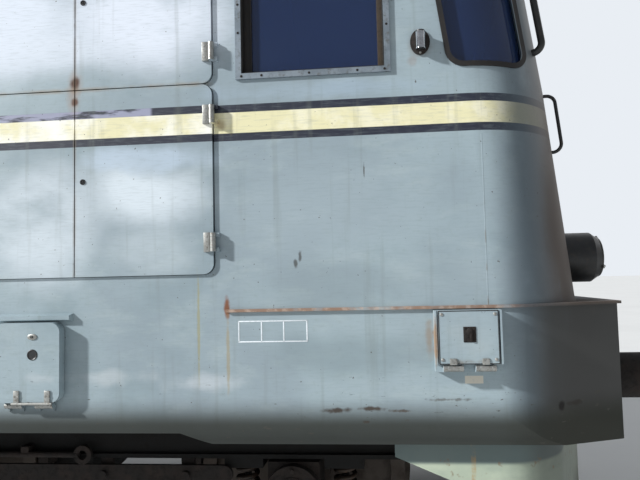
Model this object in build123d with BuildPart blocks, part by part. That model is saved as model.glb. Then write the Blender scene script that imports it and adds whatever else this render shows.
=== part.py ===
from build123d import *
import math
import os

# Diesel locomotive with a cab at each end, on two bogies of three driven axles, in millimetres.
# X runs along the track with cab A at +X, the near side is -Y, and Z is up from the flanges' tips.
# Whatever stands at one end also stands at the other, half a turn about the vertical centre line.

# Main sizes
LENGTH_OVER_BUFFERS = 17000.0
BODY_WIDTH = 3000.0
RAIL_TOP = 28.0
WALL = 60.0
SEAT_GAP = 0.3

# Levels, each from the rail top
LEDGE_Z = RAIL_TOP + 1445.0
SKIRT_BOTTOM_Z = RAIL_TOP + 849.0
MID_BOTTOM_Z = RAIL_TOP + 907.0
FRAME_BOTTOM_Z = RAIL_TOP + 1250.0
SILL_Z = RAIL_TOP + 2420.0
EAVES_Z = RAIL_TOP + 3260.0
ROOF_Z = RAIL_TOP + 4080.0
BUFFER_Z = RAIL_TOP + 1050.0

# Body across the track
SHOULDER_RADIUS = 520.0
FOOT_HEIGHT = 150.0
FOOT_TUCK = 75.0
FOOT_RISE_START_X = 6030.0
FOOT_RISE_END_X = 5900.0

# Cab ends
CAB_JOINT_X = 6118.0
NOSE_X = 7770.0
CORNER_RADIUS = 420.0
BOW_RADIUS = 9000.0
NOSE_LEAN = 6.0
SCREEN_LEAN = 8.0
BROW_RADIUS = 480.0
BROW_EASE = 1.0
FORM_MARGIN = 300.0

# Skirt and headstock below the ledge
HEADSTOCK_X = 7825.0
FACET_START_X = 7360.0
FACET_END_Y = 1315.0
FACET_BEND = 350.0
DECK_THICKNESS = 12.0
LIP = 15.0

# Side doors, leaves and covers
DOOR_GAP = 5.0
DOOR_START_X = 5400.0
DOOR_WIDTH = 640.0
DOOR_BOTTOM_Z = LEDGE_Z + 20.0
DOOR_TOP_Z = LEDGE_Z + 1780.0
HATCH_START_X = 4789.0
HATCH_JOINT_X = 5431.0
HATCH_END_X = 6073.0
HATCH_BOTTOM_Z = RAIL_TOP + 1598.0
HATCH_SPLIT_Z = RAIL_TOP + 2450.0
HATCH_TOP_Z = RAIL_TOP + 3180.0
HATCH_CORNER = 52.0
HATCH_PROUD = 12.0
DOOR_WINDOW_WIDTH = 380.0
DOOR_WINDOW_HEIGHT = 520.0
DOOR_WINDOW_Z = RAIL_TOP + 2760.0

# Hinges: an ear at each end of a moving knuckle, on one pin
PIN_RADIUS = 6.0
PIN_GAP = 0.3
KNUCKLE_RADIUS = 12.0
PIN_STAND_OFF = 14.0
KNUCKLE_LENGTH = 46.0
EAR_LENGTH = 18.0
EAR_FOOT = 26.0
STRAP_LENGTH = 36.0
HINGE_INSET = 142.0
STRAP_THICKNESS = 7.0

# Sand filler flap and socket box, near side at cab A
FLAP_START_X = 5075.0
FLAP_END_X = 5383.0
FLAP_BOTTOM_Z = RAIL_TOP + 1055.0
FLAP_TOP_Z = RAIL_TOP + 1403.0
FLAP_DEPTH = 45.0
FLAP_PLATE = 8.0
FLAP_CORNER = 42.0
FLAP_HINGE_INSET = 83.0
SOCKET_START_X = 7008.0
SOCKET_END_X = 7278.0
SOCKET_BOTTOM_Z = RAIL_TOP + 1175.0
SOCKET_APRON = 34.0
SOCKET_FOOT = 16.0
SOCKET_TOP_Z = RAIL_TOP + 1428.0
SOCKET_DEPTH = 46.0
SOCKET_LID = 22.0
SOCKET_FLOOR = 12.0
SOCKET_RIM = 24.0
SOCKET_CHEEK = 8.0
SOCKET_HINGE_INSET = 70.0
DRIP_START_X = 5038.0
DRIP_END_X = 5422.0
DRIP_DROP = 22.0
DRIP_HEIGHT = 36.0
DRIP_PROUD = 24.0
DRIP_TAPER = 20.0

# Windows
PANE = 8.0
PANE_INSET = 24.0
CAB_WINDOW_START_X = 6177.0
CAB_WINDOW_END_X = 6862.0
CAB_WINDOW_BOTTOM_Z = RAIL_TOP + 2461.0
CAB_WINDOW_TOP_Z = RAIL_TOP + 3140.0
FRAME_WIDTH = 26.0
FRAME_PROUD = 12.0
CORNER_WINDOW_START_X = 7126.0
CORNER_WINDOW_END_X = 7458.0
CORNER_WINDOW_BOTTOM_Z = RAIL_TOP + 2491.0
CORNER_WINDOW_TOP_Z = RAIL_TOP + 3120.0
SCREEN_POST = 70.0
SCREEN_REACH_Y = 1085.0
WINDOW_CORNER = 60.0
RUBBER_WIDTH = 22.0
RUBBER_PROUD = 7.0
ENGINE_WINDOW_X = (-1900.0, -300.0, 1300.0, 2900.0)
ENGINE_WINDOW_WIDTH = 720.0
ENGINE_WINDOW_HEIGHT = 420.0
ENGINE_WINDOW_Z = RAIL_TOP + 2930.0

# Cooling group at cab B: louvres in both sides and two roof fans over it
COOLER_X = (-4650.0, -3450.0)
LOUVRE_WIDTH = 1040.0
LOUVRE_HEIGHT = 760.0
LOUVRE_Z = RAIL_TOP + 2780.0
LOUVRE_RIM = 30.0
LOUVRE_SLATS = 8
LOUVRE_SLAT = 6.0
LOUVRE_TILT = 40.0
FAN_RADIUS = 480.0
FAN_TIP_GAP = 15.0
FAN_BLADES = 8
FAN_HUB_RADIUS = 120.0
FAN_HUB_HEIGHT = 110.0
FAN_BLADE_CHORD = 120.0
FAN_MOTOR_HEIGHT = 190.0
FAN_ARM = 24.0
FAN_BLADE_THICKNESS = 9.0
FAN_PITCH = 32.0
FAN_SHAFT_RADIUS = 25.0
DUCT_WALL = 10.0
DUCT_DROP = 420.0
DUCT_RISE = 50.0
GRILLE_BARS = 9
GRILLE_BAR = 12.0

# Roof equipment
GUTTER_PROUD = 16.0
GUTTER_HEIGHT = 28.0
HATCH_LID_STARTS = (-2650.0, -100.0, 2450.0)
HATCH_LID_LENGTH = 2400.0
HATCH_LID_REACH_Y = 980.0
HATCH_LID_RISE = 26.0
EXHAUST_X = 1000.0
EXHAUST_LENGTH = 620.0
EXHAUST_WIDTH = 260.0
EXHAUST_RISE = 150.0
EXHAUST_WALL = 10.0
HORN_X = 6600.0
HORN_Y = 330.0
HORN_LENGTH = 420.0
HORN_WAIST = 250.0
HORN_RADIUS = 75.0
HORN_RISE = 90.0
HORN_POST = 16.0
TOP_LAMP_Z = RAIL_TOP + 3560.0
TOP_LAMP_RADIUS = 105.0
TOP_LAMP_PROUD = 70.0

# Lamps, rails and steps
HEADLAMP_Y = 950.0
HEADLAMP_Z = RAIL_TOP + 1647.0
HEADLAMP_RADIUS = 123.0
HEADLAMP_END_X = 7868.0
HEADLAMP_TAPER = 32.0
HEADLAMP_SLOPE = 35.0
MARKER_X = 6992.0
MARKER_Z = RAIL_TOP + 2584.0
MARKER_RADIUS = 19.0
MARKER_HEIGHT = 78.0
MARKER_STAND_OFF = 34.0
MARKER_BASE = 8.0
MARKER_BASE_RADII = (42.0, 56.0)
RAIL_RADIUS = 16.0
RAIL_STAND_OFF = 70.0
RAIL_BEND = 40.0
RAIL_SINK = 6.0
NOSE_RAIL_TURN = 30.0
NOSE_RAIL_STAND_OFF = 48.0
NOSE_RAIL_LOW_Z = RAIL_TOP + 2585.0
NOSE_RAIL_HIGH_Z = RAIL_TOP + 3160.0
GRAB_TURN = 14.0
GRAB_RADIUS = 8.0
GRAB_STAND_OFF = 48.0
GRAB_LOW_Z = RAIL_TOP + 2140.0
GRAB_HIGH_Z = RAIL_TOP + 2410.0
DOOR_RAIL_X = 45.0
DOOR_RAIL_LOW_Z = RAIL_TOP + 1600.0
DOOR_RAIL_HIGH_Z = RAIL_TOP + 2900.0
STEP_TREADS_Z = (RAIL_TOP + 420.0, RAIL_TOP + 640.0)
STEP_PLATE = 14.0
STEP_INSET = 45.0
STEP_DEPTH = 125.0
STEP_LOW_Z = RAIL_TOP + 380.0

# Buffers, draw gear and plough
BUFFER_SPACING = 1750.0
BUFFER_HEAD_RADIUS = 250.0
BUFFER_HEAD_THICKNESS = 40.0
BUFFER_PLATE = 25.0
BUFFER_PLATE_SIZE = 330.0
BUFFER_CASE_RADIUS = 112.0
BUFFER_CASE_LENGTH = 350.0
BUFFER_SHANK_RADIUS = 85.0
HOOK_THICKNESS = 50.0
HOOK_REACH = 330.0
HOOK_SHANK = 45.0
HOOK_RADIUS = 115.0
HOOK_THROAT = 48.0
DRAW_BOX_LENGTH = 480.0
DRAW_BOX_WIDTH = 2300.0
PLOUGH_HALF_WIDTH = 1350.0
PLOUGH_REAR_X = 6835.0
PLOUGH_BEND_X = 7290.0
PLOUGH_BEND_RADIUS = 350.0
PLOUGH_TURN = 70.0
PLOUGH_TOP_Z = RAIL_TOP + 845.0
PLOUGH_BOTTOM_Z = RAIL_TOP + 180.0
PLOUGH_THICKNESS = 16.0
PLOUGH_TAIL = 70.0
PLOUGH_BEND_Z = RAIL_TOP + 585.0
PLOUGH_FOOT_X = 7600.0
PLOUGH_PLATE = 480.0
PLOUGH_PLATE_Y = 330.0
PLOUGH_PLATE_Z = RAIL_TOP + 420.0

# Wheelsets, each on one axle
WHEEL_RADIUS = 550.0
FLANGE_THICKNESS = 32.0
BACK_TO_BACK = 1360.0
TYRE_WIDTH = 140.0
RIM_DEPTH = 78.0
HUB_RADIUS = 150.0
WEB_THICKNESS = 28.0
HUB_SHOULDER = 10.0
TREAD_DROP = 5.0
AXLE_RADIUS = 95.0
JOURNAL_RADIUS = 75.0
AXLE_SPACING = 2050.0
PIVOT_SPACING = 8600.0

# Bogie frame and what it carries
BEAM_Y = 1050.0
BEAM_WIDTH = 150.0
BEAM_FLANGE_WIDTH = 200.0
BEAM_FLANGE = 20.0
BEAM_BOTTOM_Z = RAIL_TOP + 704.0
BEAM_TOP_Z = RAIL_TOP + 980.0
BEAM_HALF_LENGTH = 2590.0
TRANSOM_X = 1025.0
TRANSOM_WIDTH = 300.0
TRANSOM_BOTTOM_Z = RAIL_TOP + 720.0
BOLSTER_BOTTOM_Z = RAIL_TOP + 850.0
BOLSTER_WIDTH = 700.0
PIVOT_RADIUS = 110.0
BEARER_Y = 760.0
BEARER_RADIUS = 120.0
SPRING_X = 245.0
SPRING_RADIUS = 60.0
SPRING_PAD = 190.0
SPRING_PAD_HEIGHT = 46.0
BOX_WIDTH = 250.0
BOX_INNER_Y = 885.0
BOX_OUTER_Y = 1150.0
BOX_BOTTOM_Z = RAIL_TOP + 400.0
BOX_TOP_Z = RAIL_TOP + 690.0
BOX_WING = 36.0
COVER_RADIUS = 133.0
COVER_END_Y = 1198.0
MOTOR_RADIUS = 275.0
MOTOR_REACH = 480.0
MOTOR_Z = RAIL_TOP + 530.0
MOTOR_LENGTH = 1120.0
MOTOR_NOSE = 300.0
MOTOR_NOSE_HEIGHT = 60.0
SUSPENSION_WIDTH = 200.0
GEAR_CASE_END_RADIUS = 200.0
GEAR_CASE_RADIUS = 330.0
GEAR_CASE_WIDTH = 60.0
BRAKE_GAP = 10.0
BRAKE_SHOE = 55.0
BRAKE_SHOE_WIDTH = 100.0
BRAKE_ARC = 28.0
BRAKE_RISE = 15.0
BRAKE_ARM = 50.0
LEVER_Y = 1162.0
LEVER_THICKNESS = 20.0
LEVER_START_X = 350.0
LEVER_END_X = 1757.0
LEVER_BOTTOM_Z = RAIL_TOP + 590.0
LEVER_TOP_Z = RAIL_TOP + 680.0
LEVER_PIN_X = (1113.0, 1529.0)
ROD_START_X = -400.0
ROD_LUG_X = (-300.0, 700.0)
ROD_LUG = 56.0
ROD_EYE_X = 1001.0
ROD_Z = RAIL_TOP + 725.0
ROD_RADIUS = 14.0
ROD_EYE_RADIUS = 46.0

# Inside
ENGINE_START_X = -1500.0
ENGINE_LENGTH = 4800.0
ENGINE_WIDTH = 1300.0
ENGINE_HEIGHT = 1650.0
BULKHEAD = 35.0
SEAT_X = 6500.0
SEAT_Y = 720.0
SEAT_WIDTH = 460.0
SEAT_PAD = 90.0
SEAT_HEIGHT = 400.0
SEAT_BACK_HEIGHT = 560.0
SEAT_POST = 60.0
SEAT_ROUND = 30.0
DESK_START_X = 6980.0
DESK_KNEE_X = 7150.0
DESK_END_X = 7480.0
DESK_EDGE_Z = LEDGE_Z + 700.0
DESK_TOP_Z = LEDGE_Z + 940.0
DESK_HALF_WIDTH = 1000.0
TANK_LENGTH = 2760.0
TANK_HALF_WIDTH = 1250.0
TANK_BOTTOM_Z = RAIL_TOP + 300.0
TANK_CORNER = 260.0

# Worked out from the sizes above
HALF_WIDTH = BODY_WIDTH / 2
INNER_Y = HALF_WIDTH - WALL
SHOULDER_Y = HALF_WIDTH - SHOULDER_RADIUS
ROOF_RISE = ROOF_Z - EAVES_Z
CROWN_RADIUS = (SHOULDER_Y**2 + ROOF_RISE**2 - SHOULDER_RADIUS**2) / (2 * (ROOF_RISE - SHOULDER_RADIUS))
CROWN_Z = ROOF_Z - CROWN_RADIUS
FOOT_RADIUS = (FOOT_HEIGHT**2 + FOOT_TUCK**2) / (2 * FOOT_TUCK)
FOOT_TURN = math.degrees(math.asin(FOOT_HEIGHT / FOOT_RADIUS))
FOOT_Z = SKIRT_BOTTOM_Z + FOOT_HEIGHT
AXLE_Z = RAIL_TOP + WHEEL_RADIUS
PIVOT_X = PIVOT_SPACING / 2
BUFFER_Y = BUFFER_SPACING / 2
BUFFER_FACE_X = LENGTH_OVER_BUFFERS / 2
DOOR_END_X = DOOR_START_X + DOOR_WIDTH
BOW_X = NOSE_X - BOW_RADIUS
CORNER_Y = HALF_WIDTH - CORNER_RADIUS
CORNER_TURN = math.degrees(math.asin(CORNER_Y / (BOW_RADIUS - CORNER_RADIUS)))
CORNER_X = BOW_X + math.sqrt((BOW_RADIUS - CORNER_RADIUS) ** 2 - CORNER_Y**2)
DUCT_RADIUS = FAN_RADIUS + FAN_TIP_GAP
NEAR = -1
FAR = 1

# Outlines seen from the side are drawn outside the near side and cut right across the body
ACROSS = Plane.XZ.offset(BODY_WIDTH)
CLEAR_ACROSS = 2 * BODY_WIDTH

os.makedirs("parts", exist_ok=True)


def save(piece, name):
    """Label a finished piece and write it to its own file."""
    piece.part.label = name
    export_step(piece.part, f"parts/{name}.step")


def turned(part):
    """The same part at the other end of the locomotive."""
    return part.rotate(Axis.Z, 180)


def side_plane(side, inset=0.0):
    """Upright plane on one side of the body, inset from its outer skin, with X and Z as its own."""
    return Plane.XZ.offset(-side * (HALF_WIDTH - inset))


def nose_shift(level):
    """How far the leaning cab front has moved along X at a level, against the ledge's level."""
    low = min(level, SILL_Z) - LEDGE_Z
    high = max(level - SILL_Z, 0.0)
    return -low * math.tan(math.radians(NOSE_LEAN)) - high * math.tan(math.radians(SCREEN_LEAN))


def lean_direction(angle):
    """Upward direction that leans back from the nose by an angle."""
    return (-math.sin(math.radians(angle)), 0, math.cos(math.radians(angle)))


def body_section(inset, base):
    """Closed outline across the body from a base level up, drawn inset from the outer skin."""
    turn = math.degrees(math.atan2(EAVES_Z - CROWN_Z, SHOULDER_Y))
    with BuildSketch(Plane.YZ) as section:
        with BuildLine():
            shoulder = CenterArc((SHOULDER_Y, EAVES_Z), SHOULDER_RADIUS - inset, 0, turn)
            CenterArc((0, CROWN_Z), CROWN_RADIUS - inset, turn, 90 - turn)
            if base < EAVES_Z:
                Line((HALF_WIDTH - inset, base), shoulder @ 0)
            Line((0, base), (HALF_WIDTH - inset, base))
            mirror(about=Plane.YZ)
        make_face()
    return section.sketch


def foot_section(outer, inner):
    """Cross-section of a side wall between two insets, from its tucked-in foot to the eaves."""
    foot_y = HALF_WIDTH - FOOT_RADIUS
    with BuildSketch(Plane.YZ.offset(-CAB_JOINT_X)) as section:
        with BuildLine():
            skin = CenterArc((foot_y, FOOT_Z), FOOT_RADIUS - outer, -FOOT_TURN, FOOT_TURN)
            lining = CenterArc((foot_y, FOOT_Z), FOOT_RADIUS - inner, -FOOT_TURN, FOOT_TURN)
            Line(skin @ 0, lining @ 0)
            Polyline(skin @ 1, (HALF_WIDTH - outer, EAVES_Z), (HALF_WIDTH - inner, EAVES_Z), lining @ 1)
        make_face()
    return section.sketch


def nose_outline(inset, level):
    """Plan of the cab at a level, with straight sides, round corners and a slightly bowed front."""
    shift = nose_shift(level)
    rear_x = CAB_JOINT_X - FORM_MARGIN
    with BuildSketch(Plane.XY.offset(level)) as outline:
        with BuildLine():
            corner = CenterArc(
                (CORNER_X + shift, CORNER_Y), CORNER_RADIUS - inset, CORNER_TURN, 90 - CORNER_TURN
            )
            CenterArc((BOW_X + shift, 0), BOW_RADIUS - inset, 0, CORNER_TURN)
            side = Line(corner @ 1, (rear_x, HALF_WIDTH - inset))
            Line(side @ 1, (rear_x, 0))
            mirror(about=Plane.XZ)
        make_face()
    return outline.sketch


def brow_profile(inset):
    """Side view of the cab, whose roof comes down to the windscreens in one round brow."""
    front_x = NOSE_X + FORM_MARGIN
    top_x = NOSE_X + nose_shift(ROOF_Z) - inset / math.cos(math.radians(SCREEN_LEAN)) + BROW_EASE
    low_x = NOSE_X + nose_shift(SILL_Z) - inset / math.cos(math.radians(SCREEN_LEAN)) + BROW_EASE
    with BuildSketch(ACROSS) as profile:
        with BuildLine():
            FilletPolyline(
                (0, ROOF_Z - inset),
                (top_x + inset * math.tan(math.radians(SCREEN_LEAN)), ROOF_Z - inset),
                (low_x, SILL_Z),
                radius=BROW_RADIUS - inset,
            )
            Polyline((low_x, SILL_Z), (front_x, SILL_Z), (front_x, 0), (0, 0), (0, ROOF_Z - inset))
        make_face()
    return profile.sketch


def cab_form(inset):
    """Solid form of cab A drawn inset from its outer skin, open-ended past the joint and the ledge."""
    low_z = LEDGE_Z - FORM_MARGIN
    high_z = ROOF_Z + FORM_MARGIN
    with BuildPart() as form:
        add(nose_outline(inset, low_z))
        extrude(amount=(SILL_Z - low_z) / math.cos(math.radians(NOSE_LEAN)), dir=lean_direction(NOSE_LEAN))
        add(nose_outline(inset, SILL_Z))
        extrude(
            amount=(high_z - SILL_Z) / math.cos(math.radians(SCREEN_LEAN)), dir=lean_direction(SCREEN_LEAN)
        )
        add(body_section(inset, low_z - FORM_MARGIN))
        extrude(amount=NOSE_X + FORM_MARGIN, dir=(1, 0, 0), mode=Mode.INTERSECT)
        add(brow_profile(inset))
        extrude(amount=CLEAR_ACROSS, dir=(0, 1, 0), mode=Mode.INTERSECT)
    return form.part


def corner_window_outline(shrink):
    """Side view of the corner window, which leans back with the windscreens."""
    back = math.tan(math.radians(SCREEN_LEAN)) * (CORNER_WINDOW_TOP_Z - CORNER_WINDOW_BOTTOM_Z)
    with BuildSketch(ACROSS) as outline:
        with BuildLine():
            Polyline(
                (CORNER_WINDOW_START_X, CORNER_WINDOW_BOTTOM_Z),
                (CORNER_WINDOW_END_X, CORNER_WINDOW_BOTTOM_Z),
                (CORNER_WINDOW_END_X - back, CORNER_WINDOW_TOP_Z),
                (CORNER_WINDOW_START_X - back, CORNER_WINDOW_TOP_Z),
                close=True,
            )
        make_face()
        fillet(outline.vertices(), radius=WINDOW_CORNER)
        if shrink:
            offset(amount=-shrink, mode=Mode.REPLACE)
    return outline.sketch


def windscreen_outline(shrink):
    """Front view of the two windscreens, one on each side of the centre post."""
    width = SCREEN_REACH_Y - SCREEN_POST
    height = CORNER_WINDOW_TOP_Z - CORNER_WINDOW_BOTTOM_Z
    middle_z = (CORNER_WINDOW_TOP_Z + CORNER_WINDOW_BOTTOM_Z) / 2
    with BuildSketch(Plane.YZ) as outline:
        for side in (NEAR, FAR):
            with Locations((side * (SCREEN_POST + width / 2), middle_z)):
                RectangleRounded(width - 2 * shrink, height - 2 * shrink, WINDOW_CORNER - shrink)
    return outline.sketch


def cab_window_outline(plane, shrink):
    """Outline of the cab's side window on a plane, shrunk from the window frame's outer edge."""
    width = CAB_WINDOW_END_X - CAB_WINDOW_START_X
    height = CAB_WINDOW_TOP_Z - CAB_WINDOW_BOTTOM_Z
    with BuildSketch(plane) as outline:
        with Locations((CAB_WINDOW_START_X + width / 2, CAB_WINDOW_BOTTOM_Z + height / 2)):
            Rectangle(width - 2 * shrink, height - 2 * shrink)
    return outline.sketch


def engine_window_outline(plane, shrink):
    """Outlines of the high windows of the engine room on a plane."""
    with BuildSketch(plane) as outline:
        with Locations(*((x, ENGINE_WINDOW_Z) for x in ENGINE_WINDOW_X)):
            RectangleRounded(
                ENGINE_WINDOW_WIDTH - 2 * shrink, ENGINE_WINDOW_HEIGHT - 2 * shrink, WINDOW_CORNER - shrink
            )
    return outline.sketch


def fixed_knuckles(middle, gap=0.0, foot=EAR_FOOT):
    """Pin with an ear at each end on a foot, about a plane whose normal is the pin, a gap further off."""
    ear_start = KNUCKLE_LENGTH / 2 + PIN_GAP
    pin_end = ear_start + EAR_LENGTH
    with BuildSketch(middle.offset(-pin_end)) as pin:
        Circle(PIN_RADIUS)
    extrude(pin.sketch, amount=2 * pin_end, dir=middle.z_dir)
    for start in (-pin_end, ear_start):
        with BuildSketch(middle.offset(start)) as ear:
            Circle(KNUCKLE_RADIUS)
            with Locations((-foot / 2, (STRAP_THICKNESS - gap) / 2 - PIN_STAND_OFF)):
                Rectangle(foot, STRAP_THICKNESS + gap)
        extrude(ear.sketch, amount=EAR_LENGTH, dir=middle.z_dir)


def moving_knuckle(middle):
    """Knuckle with its strap, bored for the pin, about a plane whose X points along the leaf."""
    with BuildSketch(middle.offset(-KNUCKLE_LENGTH / 2)) as knuckle:
        Circle(KNUCKLE_RADIUS)
        with Locations((STRAP_LENGTH / 2, -PIN_STAND_OFF + STRAP_THICKNESS / 2)):
            Rectangle(STRAP_LENGTH, STRAP_THICKNESS)
        Circle(PIN_RADIUS + PIN_GAP, mode=Mode.SUBTRACT)
    extrude(knuckle.sketch, amount=KNUCKLE_LENGTH, dir=middle.z_dir)


# Where each hinged piece turns: its pin's planes have X along the piece and Z along the joint's axis
DOOR_HINGE_Z = (DOOR_BOTTOM_Z + HINGE_INSET, (DOOR_BOTTOM_Z + DOOR_TOP_Z) / 2, DOOR_TOP_Z - HINGE_INSET)
FAR_DOOR_HINGES = [
    Plane(origin=(DOOR_END_X - DOOR_GAP / 2, INNER_Y - PIN_STAND_OFF, z), x_dir=(-1, 0, 0), z_dir=(0, 0, 1))
    for z in DOOR_HINGE_Z
]
LEAF_HINGE_Z = {
    "lower": (HATCH_BOTTOM_Z + HINGE_INSET, HATCH_SPLIT_Z - HINGE_INSET),
    "upper": (HATCH_SPLIT_Z + HINGE_INSET, HATCH_TOP_Z - HINGE_INSET),
}
LEAF_ROWS = {"lower": (HATCH_BOTTOM_Z, HATCH_SPLIT_Z), "upper": (HATCH_SPLIT_Z, HATCH_TOP_Z)}
# Leaf's side: pin's X, which way the leaf reaches from it
LEAF_PIN_X = {
    "left": (HATCH_START_X + DOOR_GAP / 2, 1),
    "right": (HATCH_END_X - DOOR_GAP / 2, -1),
}


def leaf_hinges(row, column):
    """Pin planes of one hatch leaf."""
    pin_x, reach = LEAF_PIN_X[column]
    pin_y = -HALF_WIDTH - HATCH_PROUD - PIN_STAND_OFF
    return [
        Plane(origin=(pin_x, pin_y, z), x_dir=(reach, 0, 0), z_dir=(0, 0, -reach))
        for z in LEAF_HINGE_Z[row]
    ]


def bottom_hinges(start_x, end_x, level, face_y, inset):
    """Two pin planes below a flap on the near side, which hangs a door gap in front of face_y."""
    return [
        Plane(origin=(x, face_y - DOOR_GAP - PIN_STAND_OFF, level), x_dir=(0, 0, 1), z_dir=(1, 0, 0))
        for x in (start_x + inset, end_x - inset)
    ]


FLAP_PIN_Z = FLAP_BOTTOM_Z - KNUCKLE_RADIUS - DOOR_GAP
SOCKET_PIN_Z = SOCKET_BOTTOM_Z + SOCKET_APRON - KNUCKLE_RADIUS - DOOR_GAP
FLAP_HINGES = bottom_hinges(FLAP_START_X, FLAP_END_X, FLAP_PIN_Z, -HALF_WIDTH, FLAP_HINGE_INSET)
SOCKET_HINGES = bottom_hinges(
    SOCKET_START_X, SOCKET_END_X, SOCKET_PIN_Z, -HALF_WIDTH - SOCKET_DEPTH, SOCKET_HINGE_INSET
)

# Forms of cab A at the insets that its shell, panes and fittings need
outer_form = cab_form(0)
lining_form = cab_form(WALL)
pane_outer_form = cab_form(PANE_INSET)
pane_inner_form = cab_form(PANE_INSET + PANE)
clear_form = cab_form(-SEAT_GAP)
rubber_form = cab_form(-RUBBER_PROUD)

# Cab shells above the ledge, with the windscreens, corner windows and side windows cut
with BuildPart() as cab_shell_a:
    add(outer_form)
    add(lining_form, mode=Mode.SUBTRACT)
    with BuildSketch(Plane.YZ.offset(CAB_JOINT_X)):
        with Locations((0, (LEDGE_Z + ROOF_Z) / 2)):
            Rectangle(BODY_WIDTH + 2 * WALL, ROOF_Z - LEDGE_Z)
    extrude(amount=NOSE_X, mode=Mode.INTERSECT)
    add(windscreen_outline(0))
    extrude(amount=HEADSTOCK_X, dir=(1, 0, 0), mode=Mode.SUBTRACT)
    add(corner_window_outline(0))
    extrude(amount=CLEAR_ACROSS, dir=(0, 1, 0), mode=Mode.SUBTRACT)
    add(cab_window_outline(ACROSS, FRAME_WIDTH))
    extrude(amount=CLEAR_ACROSS, dir=(0, 1, 0), mode=Mode.SUBTRACT)
save(cab_shell_a, "cab_shell_a")

with BuildPart() as cab_shell_b:
    add(turned(cab_shell_a.part))
save(cab_shell_b, "cab_shell_b")

# Windscreens: curved panes set in the shell at both ends
with BuildPart() as screens_a:
    add(pane_outer_form)
    add(pane_inner_form, mode=Mode.SUBTRACT)
    add(windscreen_outline(SEAT_GAP))
    extrude(amount=HEADSTOCK_X, dir=(1, 0, 0), mode=Mode.INTERSECT)
with BuildPart() as windscreens:
    add(screens_a.part)
    add(turned(screens_a.part))
save(windscreens, "windscreens")

# Side glass: corner panes, cab side panes and engine room panes
with BuildPart() as corner_panes_a:
    add(pane_outer_form)
    add(pane_inner_form, mode=Mode.SUBTRACT)
    add(corner_window_outline(SEAT_GAP))
    extrude(amount=CLEAR_ACROSS, dir=(0, 1, 0), mode=Mode.INTERSECT)
with BuildPart() as flat_panes_a:
    for side in (NEAR, FAR):
        add(cab_window_outline(side_plane(side, PANE_INSET), FRAME_WIDTH + SEAT_GAP))
        extrude(amount=PANE, dir=(0, -side, 0))
with BuildPart() as side_glass:
    for panes in (corner_panes_a.part, flat_panes_a.part):
        add(panes)
        add(turned(panes))
    for side in (NEAR, FAR):
        add(engine_window_outline(side_plane(side, PANE_INSET), SEAT_GAP))
        extrude(amount=PANE, dir=(0, -side, 0))
save(side_glass, "side_glass")

# Frames on the cab side windows, and rubbers round the corner windows and windscreens
with BuildPart() as frames_a:
    for side in (NEAR, FAR):
        add(cab_window_outline(side_plane(side), 0))
        extrude(amount=FRAME_PROUD, dir=(0, side, 0))
        add(cab_window_outline(side_plane(side), FRAME_WIDTH))
        extrude(amount=FRAME_PROUD, dir=(0, side, 0), mode=Mode.SUBTRACT)
with BuildPart() as window_frames:
    add(frames_a.part)
    add(turned(frames_a.part))
save(window_frames, "window_frames")

rubber_rings = []
for outline, along in ((corner_window_outline, (0, 1, 0)), (windscreen_outline, (1, 0, 0))):
    with BuildPart() as ring:
        add(outline(-RUBBER_WIDTH))
        extrude(amount=HEADSTOCK_X, dir=along)
        add(outline(0))
        extrude(amount=HEADSTOCK_X, dir=along, mode=Mode.SUBTRACT)
        add(rubber_form, mode=Mode.INTERSECT)
        add(clear_form, mode=Mode.SUBTRACT)
    rubber_rings.append(ring.part)
with BuildPart() as window_rubbers:
    for rings in rubber_rings:
        add(rings)
        add(turned(rings))
save(window_rubbers, "window_rubbers")

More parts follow.
